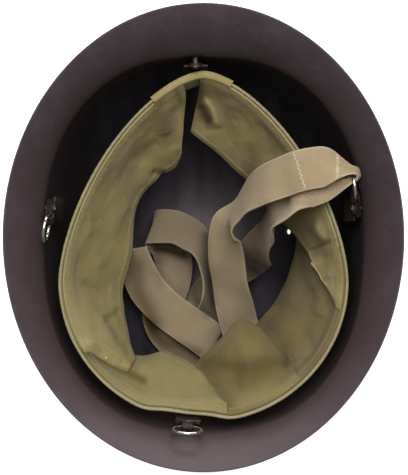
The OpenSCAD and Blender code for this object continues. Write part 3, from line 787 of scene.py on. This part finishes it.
# %% [markdown]
# ## The liner's flaps
# Each flap is sewn to the headband's inside and hangs into the bowl, where its free edge lies in
# folds. A simulated cloth would hang by its own weight, but it wouldn't lie as this one does. So the
# same curves as the frame's give each flap its place, and the folds of the photograph are raised on
# them. Near the headband the cloth swells out a little below its line of stitches, as sewn canvas
# does, and its top edge is tucked over the headband's step. Where one layer laps over another, it
# starts close to it and stands off further down.

# %% Flap shapes, in millimetres
# Each has the angles on the headband where it starts and ends, how far it stands off it there, and
# the points of its free edge.
LEFT = (103, 212, 0, 3.4, points(
    (-14, 52, 68), (-18.5, 45, 67), (-28, 40, 66), (-38, 30, 65), (-43, 19, 64.5), (-46, 2, 63),
    (-49, -16, 62), (-52, -34, 62), (-52, -52, 66), (-48, -66, 78), (-43.5, -75, 92), (-46.5, -82, 104.5)))
RIGHT = (94, -12, 0, 3, points(
    (-8, 68, 76), (4, 58, 70), (16, 48, 66), (28, 37, 63), (39, 24, 62), (50, 12, 63), (60, 0, 70),
    (66, -9, 80), (71, -19, 92), (75, -30, 108)))
REAR = (14, -96, 0, 0, points(
    (60, 10, 62), (60, -4, 58), (58, -17, 58), (54, -30, 58), (47, -42, 58), (39, -51, 58), (31, -60, 59),
    (22, -68, 60), (12, -75, 61), (2, -80, 63), (-5, -84, 66), (-8, -87, 69)))
TONGUE = (-46, -92, 1.8, 1.8, points(
    (56, -76, 101), (49, -71, 91), (40, -63, 83), (30, -55, 77), (22, -54, 75), (14, -62, 74),
    (6, -70, 74), (-1, -77, 76), (-6, -84, 82)))
TURNED = (206, 279, 0, 3.6, points(
    (-54, -70, 80), (-45, -77, 73), (-35, -77, 72), (-25, -74, 72), (-17, -77, 74), (-9, -81, 80),
    (-2, -88, 90), (4, -96, 101), (11, -104, 114)))


def flap_at(flap, s, v):
    """A point of a flap, s from 0 to 1 along the headband and v from 0 at its top to 1 at its free edge."""
    first, last, lift_first, lift_last, edge = flap
    a = mix(first, last, s)
    lift = mix(lift_first, lift_last, s) * mix(0.12, 1, smooth(v * 3))
    tuck = 1 - smooth(v * 22)
    start = band_point(a, BAND_THICK + 0.9 - 1.2 * tuck + lift, BAND_TOP - 2.5 + 0.8 * tuck)
    end = along(edge, s * (len(edge) - 1))
    out, fall = Vector((start.x - end.x, start.y - end.y, 0)), start.z - end.z
    hang, drop = fall * 0.35, fall * 0.32
    below = start - Vector((0, 0, hang)) + band_in(a) * (hang * BAND_LEAN / BAND_HEIGHT + 1.2)
    beside = end + out.normalized() * min(14, out.length * 0.4) + Vector((0, 0, drop))
    return bezier(start, below, beside, end, v)


# %% Folds of the flaps, as lines in the photograph with a width in pixels and a height
LEFT_FOLDS = [
    ([(163, 100), (161, 118), (168, 136)], 8, 1.8), ([(176, 102), (174, 130), (178, 150)], 6, -1.2),
    ([(150, 172), (158, 173), (166, 172)], 4, -1.8), ([(128, 200), (118, 215), (110, 240)], 10, 1.0),
    ([(82, 281), (97, 286), (112, 290)], 5, -1.0), ([(105, 312), (113, 326), (122, 342)], 4, -1.6),
    ([(120, 308), (112, 318), (107, 326)], 4, -1.2), ([(82, 340), (104, 352), (122, 362)], 5, 2.2),
    ([(135, 165), (150, 150), (160, 142)], 6, -1.3), ([(90, 220), (92, 250), (98, 270)], 10, 0.8),
    ([(110, 255), (118, 285), (122, 305)], 9, -0.6)]
RIGHT_FOLDS = [
    ([(209, 98), (213, 112), (220, 128)], 6, 1.6), ([(200, 104), (203, 118), (208, 134)], 5, -1.5),
    ([(230, 96), (236, 120), (244, 150)], 9, 1.4), ([(262, 118), (268, 140), (272, 160)], 8, -1.3),
    ([(306, 252), (322, 245), (338, 238)], 3, -1.4), ([(300, 215), (318, 222), (330, 224)], 7, 1.0),
    ([(314, 226), (322, 232), (330, 236)], 7, 1.6), ([(312, 262), (322, 268), (332, 280)], 9, 2.4)]
REAR_FOLDS = [
    ([(318, 282), (322, 300), (318, 318)], 6, 1.6), ([(300, 330), (308, 345), (310, 356)], 6, -1.4),
    ([(280, 352), (288, 356), (292, 364)], 4, -2.0), ([(250, 380), (262, 388), (275, 392)], 7, 1.2)]
TONGUE_FOLDS = [
    ([(252, 328), (262, 350), (264, 380)], 8, 1.6), ([(232, 345), (238, 370), (236, 395)], 7, -1.3),
    ([(285, 352), (290, 358), (292, 364)], 4, -1.6)]
TURNED_FOLDS = [
    ([(84, 358), (106, 369), (130, 378), (152, 390)], 6, -2.8),
    ([(140, 362), (152, 380), (158, 398)], 8, 1.4), ([(176, 362), (184, 382), (188, 400)], 7, -1.3),
    ([(196, 370), (205, 384), (214, 398), (222, 408)], 5, 1.6)]

# %% Painted shade in the flaps' hollows and folds, and stains; below zero a painted highlight that makes the cloth paler
LEFT_SHADING_AND_STAINS = [
    ([(120, 306), (108, 317)], 3, 0.25), ([(106, 318), (114, 334), (124, 352), (131, 366)], 3.5, 0.42),
    ([(116, 318), (126, 338), (131, 350)], 7, 0.35), ([(84, 283), (98, 289)], 3, 0.35),
    ([(88, 292), (92, 330)], 6, 0.15), ([(82, 343), (104, 353), (128, 367)], 5, -0.28),
    ([(158, 103), (162, 120), (166, 136)], 7, 0.55), ([(150, 152), (162, 160), (174, 160)], 9, 0.35),
    ([(150, 172), (162, 172), (174, 169)], 2.5, 0.5), ([(179, 108), (181, 130), (182, 150)], 3.5, -0.3),
    ([(177, 90), (180, 100)], 4, 0.7), ([(88, 355), (106, 365), (130, 371)], 2.2, 0.6)]
RIGHT_SHADING_AND_STAINS = [
    ([(198, 84), (199, 102), (209, 118)], 7.5, 1.3), ([(206, 98), (213, 109), (216, 120)], 2.4, -1.1),
    ([(216, 98), (224, 103), (238, 109)], 6, 0.5), ([(200, 130), (225, 146)], 9, -0.25),
    ([(252, 150), (256, 160), (248, 172)], 8, 0.5), ([(306, 251), (320, 246), (338, 239)], 1.6, 0.5),
    ([(310, 264), (318, 274), (332, 288)], 9, -0.6), ([(306, 226), (312, 236)], 8, -0.2)]
REAR_SHADING_AND_STAINS = [
    ([(291, 240), (289, 270), (281, 300)], 9, 0.6), ([(303, 250), (305, 275), (312, 288)], 6, 0.6),
    ([(262, 322), (275, 330), (284, 345)], 8, 0.4), ([(300, 362), (318, 340), (332, 312)], 9, -0.4),
    ([(302, 330), (318, 305)], 9, -0.2)]
TONGUE_SHADING_AND_STAINS = [
    ([(204, 362), (240, 367), (284, 362)], 8, 0.6), ([(204, 372), (216, 386), (227, 404)], 8, 0.5),
    ([(240, 380), (266, 374)], 8, 0.35), ([(266, 330), (278, 346), (288, 357), (286, 366)], 4, 0.5),
    ([(232, 336), (252, 346)], 12, -0.25), ([(242, 402), (284, 391), (304, 370)], 9, -0.5)]
TURNED_SHADING_AND_STAINS = [
    ([(85, 352), (106, 362), (126, 372), (143, 381)], 5, 0.95),
    ([(146, 366), (170, 372), (196, 384)], 9, -0.25), ([(110, 388), (150, 402), (200, 406)], 7, -0.2)]


# %% Helper: a flap
FLAP_ROWS, FLAP_THICK, LAID_FROM = 84, 1.1, 0.955
cloth_trees = {"band": band_tree}


def flap_relief(folds, length):
    """The relief of a flap: a swell along the seam, then folds, unevenness and the hem further down."""
    def relief(u, v, point):
        down = v * length
        swell = 0.3 * bell(down - 10, 7)
        pucker = 0.14 * math.sin(u * 15 * length + 2 * noise.noise(point / 8)) * bell(down - 3, 3)
        hem = 0.5 * bell((1 - v) * length - 4.5, 1.2)
        soft = ripple(point, 30, 2.2, 1) + ripple(point, 12, 0.45, 2) + ripple(point, 4, 0.16, 4)
        return swell + pucker + smooth((down - 5) / 14) * (drawn(point, folds, fading=True) + soft + hem)
    return relief


def lay_end(bm, tree, width):
    """Brings the last columns of a flap down on the cloth below, which it is sewn to."""
    uv, moved = bm.loops.layers.uv["cloth"], set()
    for loop in [loop for face in bm.faces for loop in face.loops]:
        share = smooth((loop[uv].uv.x / width - LAID_FROM) / (1 - LAID_FROM))
        if loop.vert in moved or share == 0:
            continue
        moved.add(loop.vert)
        spot, normal = tree.find_nearest(loop.vert.co)[:2]
        above = normal if normal.dot(loop.vert.co - spot) > 0 else -normal
        loop.vert.co = loop.vert.co.lerp(spot + above * mix(1.2, 0.5, share) * MM, share)
    bm.normal_update()


def make_flap(name, flap, folds, shade_and_stains, columns, lands_on=None):
    length = path_length(lambda t: flap_at(flap, 0.5, t), 20)
    width = path_length(lambda t: flap_at(flap, t, 0.5), 40)
    bm = surface(columns, FLAP_ROWS, lambda u, v: flap_at(flap, u, v), (width * MM, length * MM),
                 faces=lambda p: Vector((-p.x, -p.y - 10, 60)), relief=flap_relief(folds, length))
    if lands_on:
        lay_end(bm, cloth_trees[lands_on], width * MM)
    add_shade_and_stains(bm, shade_and_stains)
    cloth_trees[name] = BVHTree.FromBMesh(bm)
    print(name, "is", round(width), "by", round(length), "mm")
    return thicken(to_object(bm, name), FLAP_THICK, edge=0.3), (width * MM, length * MM)


# %% Make the flaps
for name, flap, folds, shade_and_stains, columns, node, cloth, lands_on in (
        ("rear_flap", REAR, REAR_FOLDS, REAR_SHADING_AND_STAINS, 180, "flap_rear", canvas_shaded, None),
        ("rear_tongue", TONGUE, TONGUE_FOLDS, TONGUE_SHADING_AND_STAINS, 120, "flap_rear", canvas_shaded, None),
        ("rear_turned", TURNED, TURNED_FOLDS, TURNED_SHADING_AND_STAINS, 130, "flap_rear", canvas_turned, None),
        ("left_flap", LEFT, LEFT_FOLDS, LEFT_SHADING_AND_STAINS, 220, "flap_left", canvas, "rear_turned"),
        ("right_flap", RIGHT, RIGHT_FOLDS, RIGHT_SHADING_AND_STAINS, 200, "flap_right", canvas, "rear_flap")):
    piece, flat = make_flap(name, flap, folds, shade_and_stains, columns, lands_on)
    dress(piece, cloth, [node])

# %% [markdown]
# ## The chin tape
# One length of 25 mm webbing comes up out of the bowl, is gathered through the right ring, and
# drops back into a loose heap on the crown. A curve with a flat bevel could make it, but it would
# choose its own twist wherever the tape stands on edge. So the strap is modelled directly: a ribbon
# follows a list of stations, each with the direction across the tape.


# %% Tape stations: a place in millimetres and the way across
def stations(*rows):
    return [(Vector(row[:3]), Vector(row[3:])) for row in rows]


def moved_by(origin, places):
    return [(origin + place, across) for place, across in places]


UPPER_TAIL = stations(
    (29, -76, 46, 1, 0.15, 0.1), (26, -65, 43, 1, 0.25, 0.05), (23, -56, 43, 1, 0.35, 0),
    (18, -33, 55, 1, -0.1, 0.35), (15, -14, 70, 0.95, -0.05, 0.45), (14, 2, 84, 0.6, 0.1, 0.8),
    (16, 10, 93, 0.35, -0.1, 0.95), (22, 18, 102, 0.1, -0.45, 0.88), (28, 26, 113, -0.1, -0.9, 0.4),
    (37, 32, 125, 0.1, -0.95, 0.25), (49, 37, 136, 0.2, -1, 0.1))
LOWER_TAIL = stations(
    (52, 18, 130, -0.1, -0.45, 0.88), (44, 12, 118, 0.16, -0.25, 0.95), (41, 5, 100, 0.15, -0.25, 0.95),
    (38, -3, 80, 0.25, -0.15, 0.95), (34, -11, 58, 0.55, -0.1, 0.8), (29, -17, 36, 0.8, -0.2, 0.55),
    (23, -20, 22, 0.6, -0.6, 0.35))
HEAP = stations(
    (11, -31, 14, 0.9, -0.4, 0.1), (-1, -45, 15, 1, -0.2, 0.1), (-6, -60, 20, 1, -0.05, 0.1),
    (-6, -68, 25, 1, 0, 0.05), (-2, -62, 31, 0.95, 0.1, -0.3), (3, -48, 32, 0.6, 0.05, -0.8),
    (4, -33, 33, 0.38, 0.05, -0.92), (3, -21, 34, 0.36, 0.1, -0.93), (0, -9, 34, 0.42, 0.35, -0.84),
    (-7, 0, 33, 0.45, 0.7, -0.55), (-18, 6, 32, 0.05, 0.85, -0.5), (-29, 7, 31, 0.15, 0.9, -0.4),
    (-35, 6, 27, 0.25, 0.9, -0.35), (-31, 1, 21, 0.25, 0.9, -0.3), (-24, -6, 19, 0.6, 0.75, -0.2),
    (-20, -17, 19, 0.9, 0.35, 0.1), (-21, -29, 22, 0.95, 0.1, 0), (-26, -42, 27, 0.95, 0.1, -0.15),
    (-28, -54, 33, 0.85, 0.3, -0.1), (-22, -65, 37, 0.5, 0.75, 0), (-11, -71, 37, 0.15, 0.95, -0.1),
    (1, -74, 37, 0, 1, -0.1), (7, -72, 41, 0.15, 0.98, 0), (0, -65, 46, 0.3, 0.92, 0),
    (-13, -56, 47, 0.42, 0.9, 0), (-26, -46, 47, 0.42, 0.9, 0.05), (-37, -34, 46, 0.45, 0.85, 0.15),
    (-44, -20, 47, 0.5, 0.7, 0.4), (-48, -8, 50, 0.6, 0.5, 0.55))

# %% Tape stations round the ring, measured from the far side of its wire
RING_FAR, WRAP_RADIUS = Vector((89.93, 38.03, 149.1)), 3.3
RING_OUT, RING_DEEP = Vector((-0.1402, 0.7979, 0.5864)), Vector((-0.9888, -0.1436, -0.0410))
ACROSS_RING = Vector((0.0515, -0.5855, 0.8090))
INTO_RING = stations((-32, 2, -6, 0.22, -1, 0.05), (-21, 4, -2, 0.3, -1, 0.1), (-11, 4, 1, 0.3, -0.9, 0.4))
OUT_OF_RING = stations((-14, -6, -7, 0.25, -1, 0.2), (-30, -9, -13, 0.2, -1, 0.03))
WRAP = [((RING_OUT * math.cos(t) - RING_DEEP * math.sin(t)) * WRAP_RADIUS, ACROSS_RING)
        for t in map(math.radians, (5, 60, 115, 170))]
ROUTE = UPPER_TAIL + moved_by(RING_FAR, INTO_RING + WRAP + OUT_OF_RING) + LOWER_TAIL + HEAP
route_points, route_ways = [p for p, d in ROUTE], [d for p, d in ROUTE]
print("tape:", len(ROUTE), "stations")


# %% Tape surface
WEBBING_WIDTH, GATHERED_WIDTH = 25, 8
NECK_MID, NECK_REACH = 15.5, 2.5  # the stations where it is gathered
TAPE_STEPS = 900


def tape_half(q):
    neck = smooth((abs(q - NECK_MID) - NECK_REACH + 1.2) / 2)
    return mix(GATHERED_WIDTH, WEBBING_WIDTH, neck) / 2


def tape_frame(q):
    """The tape's middle at q, the way it runs, the way across it and its upper side."""
    ahead, behind = along(route_points, min(q + 0.1, len(ROUTE) - 1)), along(route_points, max(q - 0.1, 0))
    run = (ahead - behind).normalized()
    way = along(route_ways, q)
    way = (way - run * way.dot(run)).normalized()
    return along(route_points, q), run, way, run.cross(way)


def tape_point(q, side, lift=0.0):
    """A point on the tape, with side from -1 to 1 across it and a lift in millimetres."""
    mid, run, way, up = tape_frame(q)
    half = tape_half(q)
    gather = 1 - (2 * half - GATHERED_WIDTH) / (WEBBING_WIDTH - GATHERED_WIDTH)
    pleat = 1.1 * gather * math.cos(side * math.pi * 2.5)
    cup = 0.7 * (1 - gather) * (side * side - 0.4) * math.sin(q * 1.3)
    wave = ripple(mid + way * side * half, 17, 0.9, 7) * (1 - gather)
    return mid + way * side * half + up * (lift + pleat + cup + wave)


q_steps = [i / TAPE_STEPS * (len(ROUTE) - 1) for i in range(TAPE_STEPS + 1)]
run_lengths = [0.0]
for a, b in zip(q_steps, q_steps[1:]):
    run_lengths.append(run_lengths[-1] + (along(route_points, b) - along(route_points, a)).length)
tape_length = run_lengths[-1] * MM


def q_at(share):
    """The station index at a share of the tape's whole length, so that the weave stays even."""
    target, low, high = share * run_lengths[-1], 0, TAPE_STEPS
    while high - low > 1:
        middle = (low + high) // 2
        low, high = (middle, high) if run_lengths[middle] <= target else (low, middle)
    span = run_lengths[high] - run_lengths[low]
    return mix(q_steps[low], q_steps[high], (target - run_lengths[low]) / span if span else 0)


# %% Tape
# Painted shade where the tape lies in shadow and in the heap's hollows; below zero a painted highlight.
TAPE_SHADING = [
    ([(136, 264), (138, 292), (154, 322)], 10, 0.9), ([(206, 236), (206, 268), (212, 302)], 4.5, 0.85),
    ([(146, 322), (162, 340), (198, 352)], 6, 0.7), ([(150, 336), (172, 352), (196, 362)], 7, 0.6),
    ([(160, 262), (160, 285)], 5, 0.35), ([(334, 158), (354, 166)], 12, 0.22),
    ([(266, 212), (258, 240), (257, 270)], 9, 0.75), ([(156, 249), (168, 250), (184, 256)], 4.5, 1.3),
    ([(194, 264), (195, 298), (208, 314)], 4.5, 0.75), ([(168, 270), (176, 280)], 8, -0.4)]
bm = surface(620, 14, lambda u, v: tape_point(q_at(u), 2 * v - 1), (tape_length, WEBBING_WIDTH * MM))
add_shade_and_stains(bm, TAPE_SHADING)
cloth_trees["tape"] = BVHTree.FromBMesh(bm)
tape = thicken(to_object(bm, "tape"), 1.1, edge=0.3)
dress(tape, webbing, ["chin_tape"], ride=False)
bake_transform(tape)
print("tape is", round(tape_length, 4), "m long")

# %% [markdown]
# ## Leather and metal pieces
# The frame's hard pieces already have the right shape, but their edges are knife sharp. They could be
# modelled again, but nothing about them would change except those edges. So a copy of each is merged
# into one skin, its flat faces are joined, and its edges are rounded with a bevel. The wire rings are
# round already and keep their faces.


# %% Helper: a softened copy
def softened(node, name, material, width, body="helmet"):
    bm = bmesh.new()
    bm.from_mesh(nodes[node].data)
    bmesh.ops.remove_doubles(bm, verts=bm.verts, dist=1e-6)
    bmesh.ops.recalc_face_normals(bm, faces=bm.faces)
    if width:
        bmesh.ops.dissolve_limit(bm, angle_limit=0.01, use_dissolve_boundaries=False, verts=bm.verts,
                                 edges=bm.edges)
    piece = to_object(bm, name)
    if width:
        round_edges(piece, width, 3, 35).harden_normals = True
    return dress(piece, material, [node], body)


# %% Hangers, loops, rings, rivets and washers
fittings = []
for side in ("front", "left", "right", "rear"):
    fittings += [softened(side + "_hanger", side + "_strap", leather, 0.3),
                 softened(side + "_rivet", side + "_split_rivet", dark_steel, 0.12),
                 softened(side + "_washer", side + "_disc", dark_steel, 0.1)]
for side in ("left", "right", "rear"):
    ring = side + "_ring"
    fittings += [softened(ring + "_loop", side + "_loop", leather, 0.2),
                 softened(ring, side + "_wire_ring", nickel, 0, body=ring + "_body")]
nodes["band_stiffener"].data.materials.clear()
nodes["band_stiffener"].data.materials.append(fibre)
print("leather and metal:", len(fittings), "pieces")


# %% [markdown]
# ## Stitches and loose thread
# A stitch is a short capsule of thread that sinks a little into the cloth. Stitches could be drawn in
# the cloth's colour, but real ones stand up and take the light. Each is made from a sphere with few
# faces, pulled long, and set on the nearest point of the finished cloth.


# %% Helper: stitches
STITCH_LIFT = 0.62  # half the cloth's thickness and a little more


def add_stitch(bm, at, run, up, length, width):
    side = run.cross(up).normalized()
    up = side.cross(run).normalized()
    axes = (side * width / 2 * MM, up * width / 2 * MM, run * length / 2 * MM)
    spot = Matrix.Translation(at * MM) @ Matrix(axes).transposed().to_4x4()
    bmesh.ops.create_uvsphere(bm, u_segments=8, v_segments=5, radius=1, matrix=spot)


def on_cloth(tree, guess):
    """The nearest point of a cloth to a guess, and its normal, in millimetres."""
    spot, normal = tree.find_nearest(guess * MM)[:2]
    return spot / MM, normal


# %% The seam round the headband
SEAM_DROP, SEAM_REACH = 4.6, 2.6
SEAM_STEP, STITCH_SHARE = 1.5, 0.74  # degrees round the headband, and how much of them is thread
SEAM_PARTS = (("right_flap", RIGHT, 92, -12), ("rear_flap", REAR, -12.5, -46),
              ("rear_tongue", TONGUE, -46.5, -80.5), ("rear_turned", TURNED, 278.5, 212),
              ("left_flap", LEFT, 211.5, 104))
seam_bm = bmesh.new()
count = 0
for name, flap, start, end in SEAM_PARTS:
    steps = int(abs(end - start) / SEAM_STEP)
    spots = []
    for i in range(steps + 1):
        a = mix(start, end, i / steps)
        top = flap_at(flap, (a - flap[0]) / (flap[1] - flap[0]), 0)
        spots.append(on_cloth(cloth_trees[name], top + band_in(a) * SEAM_REACH - Vector((0, 0, SEAM_DROP))))
    for (here, normal), (there, _) in zip(spots, spots[1:]):
        run = there - here
        middle = (here + there) / 2 + normal * STITCH_LIFT
        add_stitch(seam_bm, middle, run.normalized(), normal, run.length * STITCH_SHARE, 0.42)
        count += 1
dress(to_object(seam_bm, "seam_stitches"), tan_thread)
print("seam:", count, "stitches")

# %% The tape's rows of stitches
TAPE_ROWS = ((10.95, 11.12), (13.05, 13.2))  # stations of a row's two ends
ROW_STITCHES, ROW_HALF = 15, 0.86
tape_bm = bmesh.new()
for q_edge, q_other in TAPE_ROWS:
    for row in range(2):
        for i in range(ROW_STITCHES):
            side = ROW_HALF * (2 * i / (ROW_STITCHES - 1) - 1)
            lean = 1 if i % 2 else -1
            q = mix(q_edge, q_other, (side + 1) / 2) + 0.06 * row + 0.03 * lean
            mid, run, way, up = tape_frame(q)
            zig = (way + run * 0.5 * lean).normalized()
            for face in (1, -1):
                add_stitch(tape_bm, tape_point(q, side, STITCH_LIFT * face), zig, up * face, 1.7, 0.55)
tape_seams = to_object(tape_bm, "tape_stitches")
dress(tape_seams, cream_thread, ride=False)
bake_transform(tape_seams)
print("tape:", 2 * len(TAPE_ROWS) * ROW_STITCHES, "stitches on each face")


# %% Helper: loose threads
def thread_mesh(bm, line, radius):
    """Adds a thin tube along a smooth line of points in millimetres."""
    curve = bpy.data.curves.new("thread", "CURVE")
    curve.dimensions = "3D"
    curve.bevel_depth = radius * MM
    curve.bevel_resolution = 1
    curve.use_fill_caps = True
    count = (len(line) - 1) * 5
    spline = curve.splines.new("POLY")
    spline.points.add(count)
    for i in range(count + 1):
        spline.points[i].co = (*(along(line, i / count * (len(line) - 1)) * MM), 1)
    holder = bpy.data.objects.new("thread", curve)
    mesh = bpy.data.meshes.new_from_object(holder)
    bm.from_mesh(mesh)
    bpy.data.objects.remove(holder)
    bpy.data.curves.remove(curve)
    bpy.data.meshes.remove(mesh)


def under_pixel(px, py):
    """The highest cloth point under a pixel of the photograph, and its normal, in millimetres."""
    eye = Vector(camera.location)
    k = pixel_size(RIM_LEVEL / MM) * MM
    aim = Vector(((px - MID_X) * k, (MID_Y - py) * k, RIM_LEVEL))
    hits = [tree.ray_cast(eye, (aim - eye).normalized())[:2] for tree in cloth_trees.values()]
    hits = [hit for hit in hits if hit[0] is not None]
    spot, normal = max(hits, key=lambda hit: hit[0].z)
    return spot / MM, normal if normal.z > 0 else -normal


def tuft(bm, px, py, size, strands, radius):
    """A few curled ends of thread that stand out of the cloth at a pixel."""
    root, normal = under_pixel(px, py)
    for _ in range(strands):
        way = Vector((random.uniform(-1, 1), random.uniform(-1, 1), random.uniform(0, 0.6)))
        bend = Vector((random.uniform(-1, 1), random.uniform(-1, 1), random.uniform(-0.2, 0.6)))
        line = [root + normal * 0.5, root + normal * (0.6 + size * 0.4) + way * size * 0.4,
                root + normal * (0.5 + size * 0.4) + way * size + bend * size * 0.5]
        thread_mesh(bm, line, radius)


# %% Loose threads, by their pixels and size
WHITE_TUFTS = ((105.5, 357, 0.8), (354, 176, 1.4))
RUST_TUFTS = ((300, 292, 1.0), (290, 310, 1.0), (286, 318, 1.0), (294, 301, 1.0))
CREAM_ENDS = ((315, 190, 2.2), (345, 181, 1.8), (311, 197, 1.5), (134, 250, 1.2))
random.seed(4)
for name, tufts, strands, radius, thread, slot in (
        ("white_tufts", WHITE_TUFTS, 4, 0.16, white_thread, "canvas"),
        ("rust_tufts", RUST_TUFTS, 2, 0.16, rust_thread, "canvas"),
        ("cream_ends", CREAM_ENDS, 3, 0.15, cream_thread, "webbing")):
    tuft_bm = bmesh.new()
    for px, py, size in tufts:
        tuft(tuft_bm, px, py, size, strands, radius)
    dress(to_object(tuft_bm, name), thread)
    print(name, "at", len(tufts), "places")

# %% [markdown]
# ## Floor and light
# The helmet rests on a white table that reads as pure white, yet still takes the helmet's shadow.
# Enough lamps would also turn it white, but they would bleach the cloth. So the floor itself glows,
# for the camera and for mirrored rays alone, and its light falls on nothing. A soft lamp above the
# front of the helmet lights the liner and the rear of the bowl, and leaves the front of it in its own
# shadow. A wide low panel beyond the front is mirrored by the satin paint at the rear of the brim. A
# dim sky fills in the rest.

# %% Floor
floor_bm = bmesh.new()
bmesh.ops.create_grid(floor_bm, x_segments=1, y_segments=1, size=6.0)
floor = to_object(floor_bm, "floor")
floor.data.transform(Matrix.Translation((0, 0, -0.0002)))
white, tree, shader, coords = new_material("floor_white", Base_Color=(0.8, 0.8, 0.8, 1), Roughness=1.0,
                                          Specular_IOR_Level=0.0, Emission_Color=(1, 1, 1, 1))
rays = tree.nodes.new("ShaderNodeLightPath").outputs
seen = calculate(tree, "MAXIMUM", rays["Is Camera Ray"], rays["Is Glossy Ray"])
seen = calculate(tree, "MAXIMUM", seen, rays["Is Transmission Ray"])
connect(tree, shader, {"Emission Strength": times(tree, seen, 0.88)})
floor.data.materials.append(white)

# %% Sky
world = bpy.data.worlds.new("sky")
bpy.context.scene.world = world
world.use_nodes = True
tree = world.node_tree
rays = tree.nodes.new("ShaderNodeLightPath").outputs
background = tree.nodes["Background"]
background.inputs["Color"].default_value = (1, 1, 1, 1)
seen = calculate(tree, "MAXIMUM", rays["Is Camera Ray"], rays["Is Transmission Ray"])
connect(tree, background, {"Strength": range_to(tree, seen, 0.2, 1.0)})


# %% Lamps
def lamp(name, at, aim, size, watts):
    light = bpy.data.lights.new(name, "AREA")
    light.shape = "ELLIPSE"
    light.size, light.size_y = size
    light.energy = watts
    holder = bpy.data.objects.new(name, light)
    holder.location = at
    holder.rotation_mode = "QUATERNION"
    holder.rotation_quaternion = (Vector(aim) - Vector(at)).to_track_quat("-Z", "Y")
    bpy.context.scene.collection.objects.link(holder)
    print("lamp:", name, watts, "W")


lamp("top", (0.03, 0.42, 1.4), (0, 0, 0.1), (0.9, 0.9), 23)
lamp("panel", (0.1, 2.0, 0.45), (0, 0, 0.15), (4.2, 0.9), 49)
bpy.context.scene.view_settings.view_transform = "Standard"
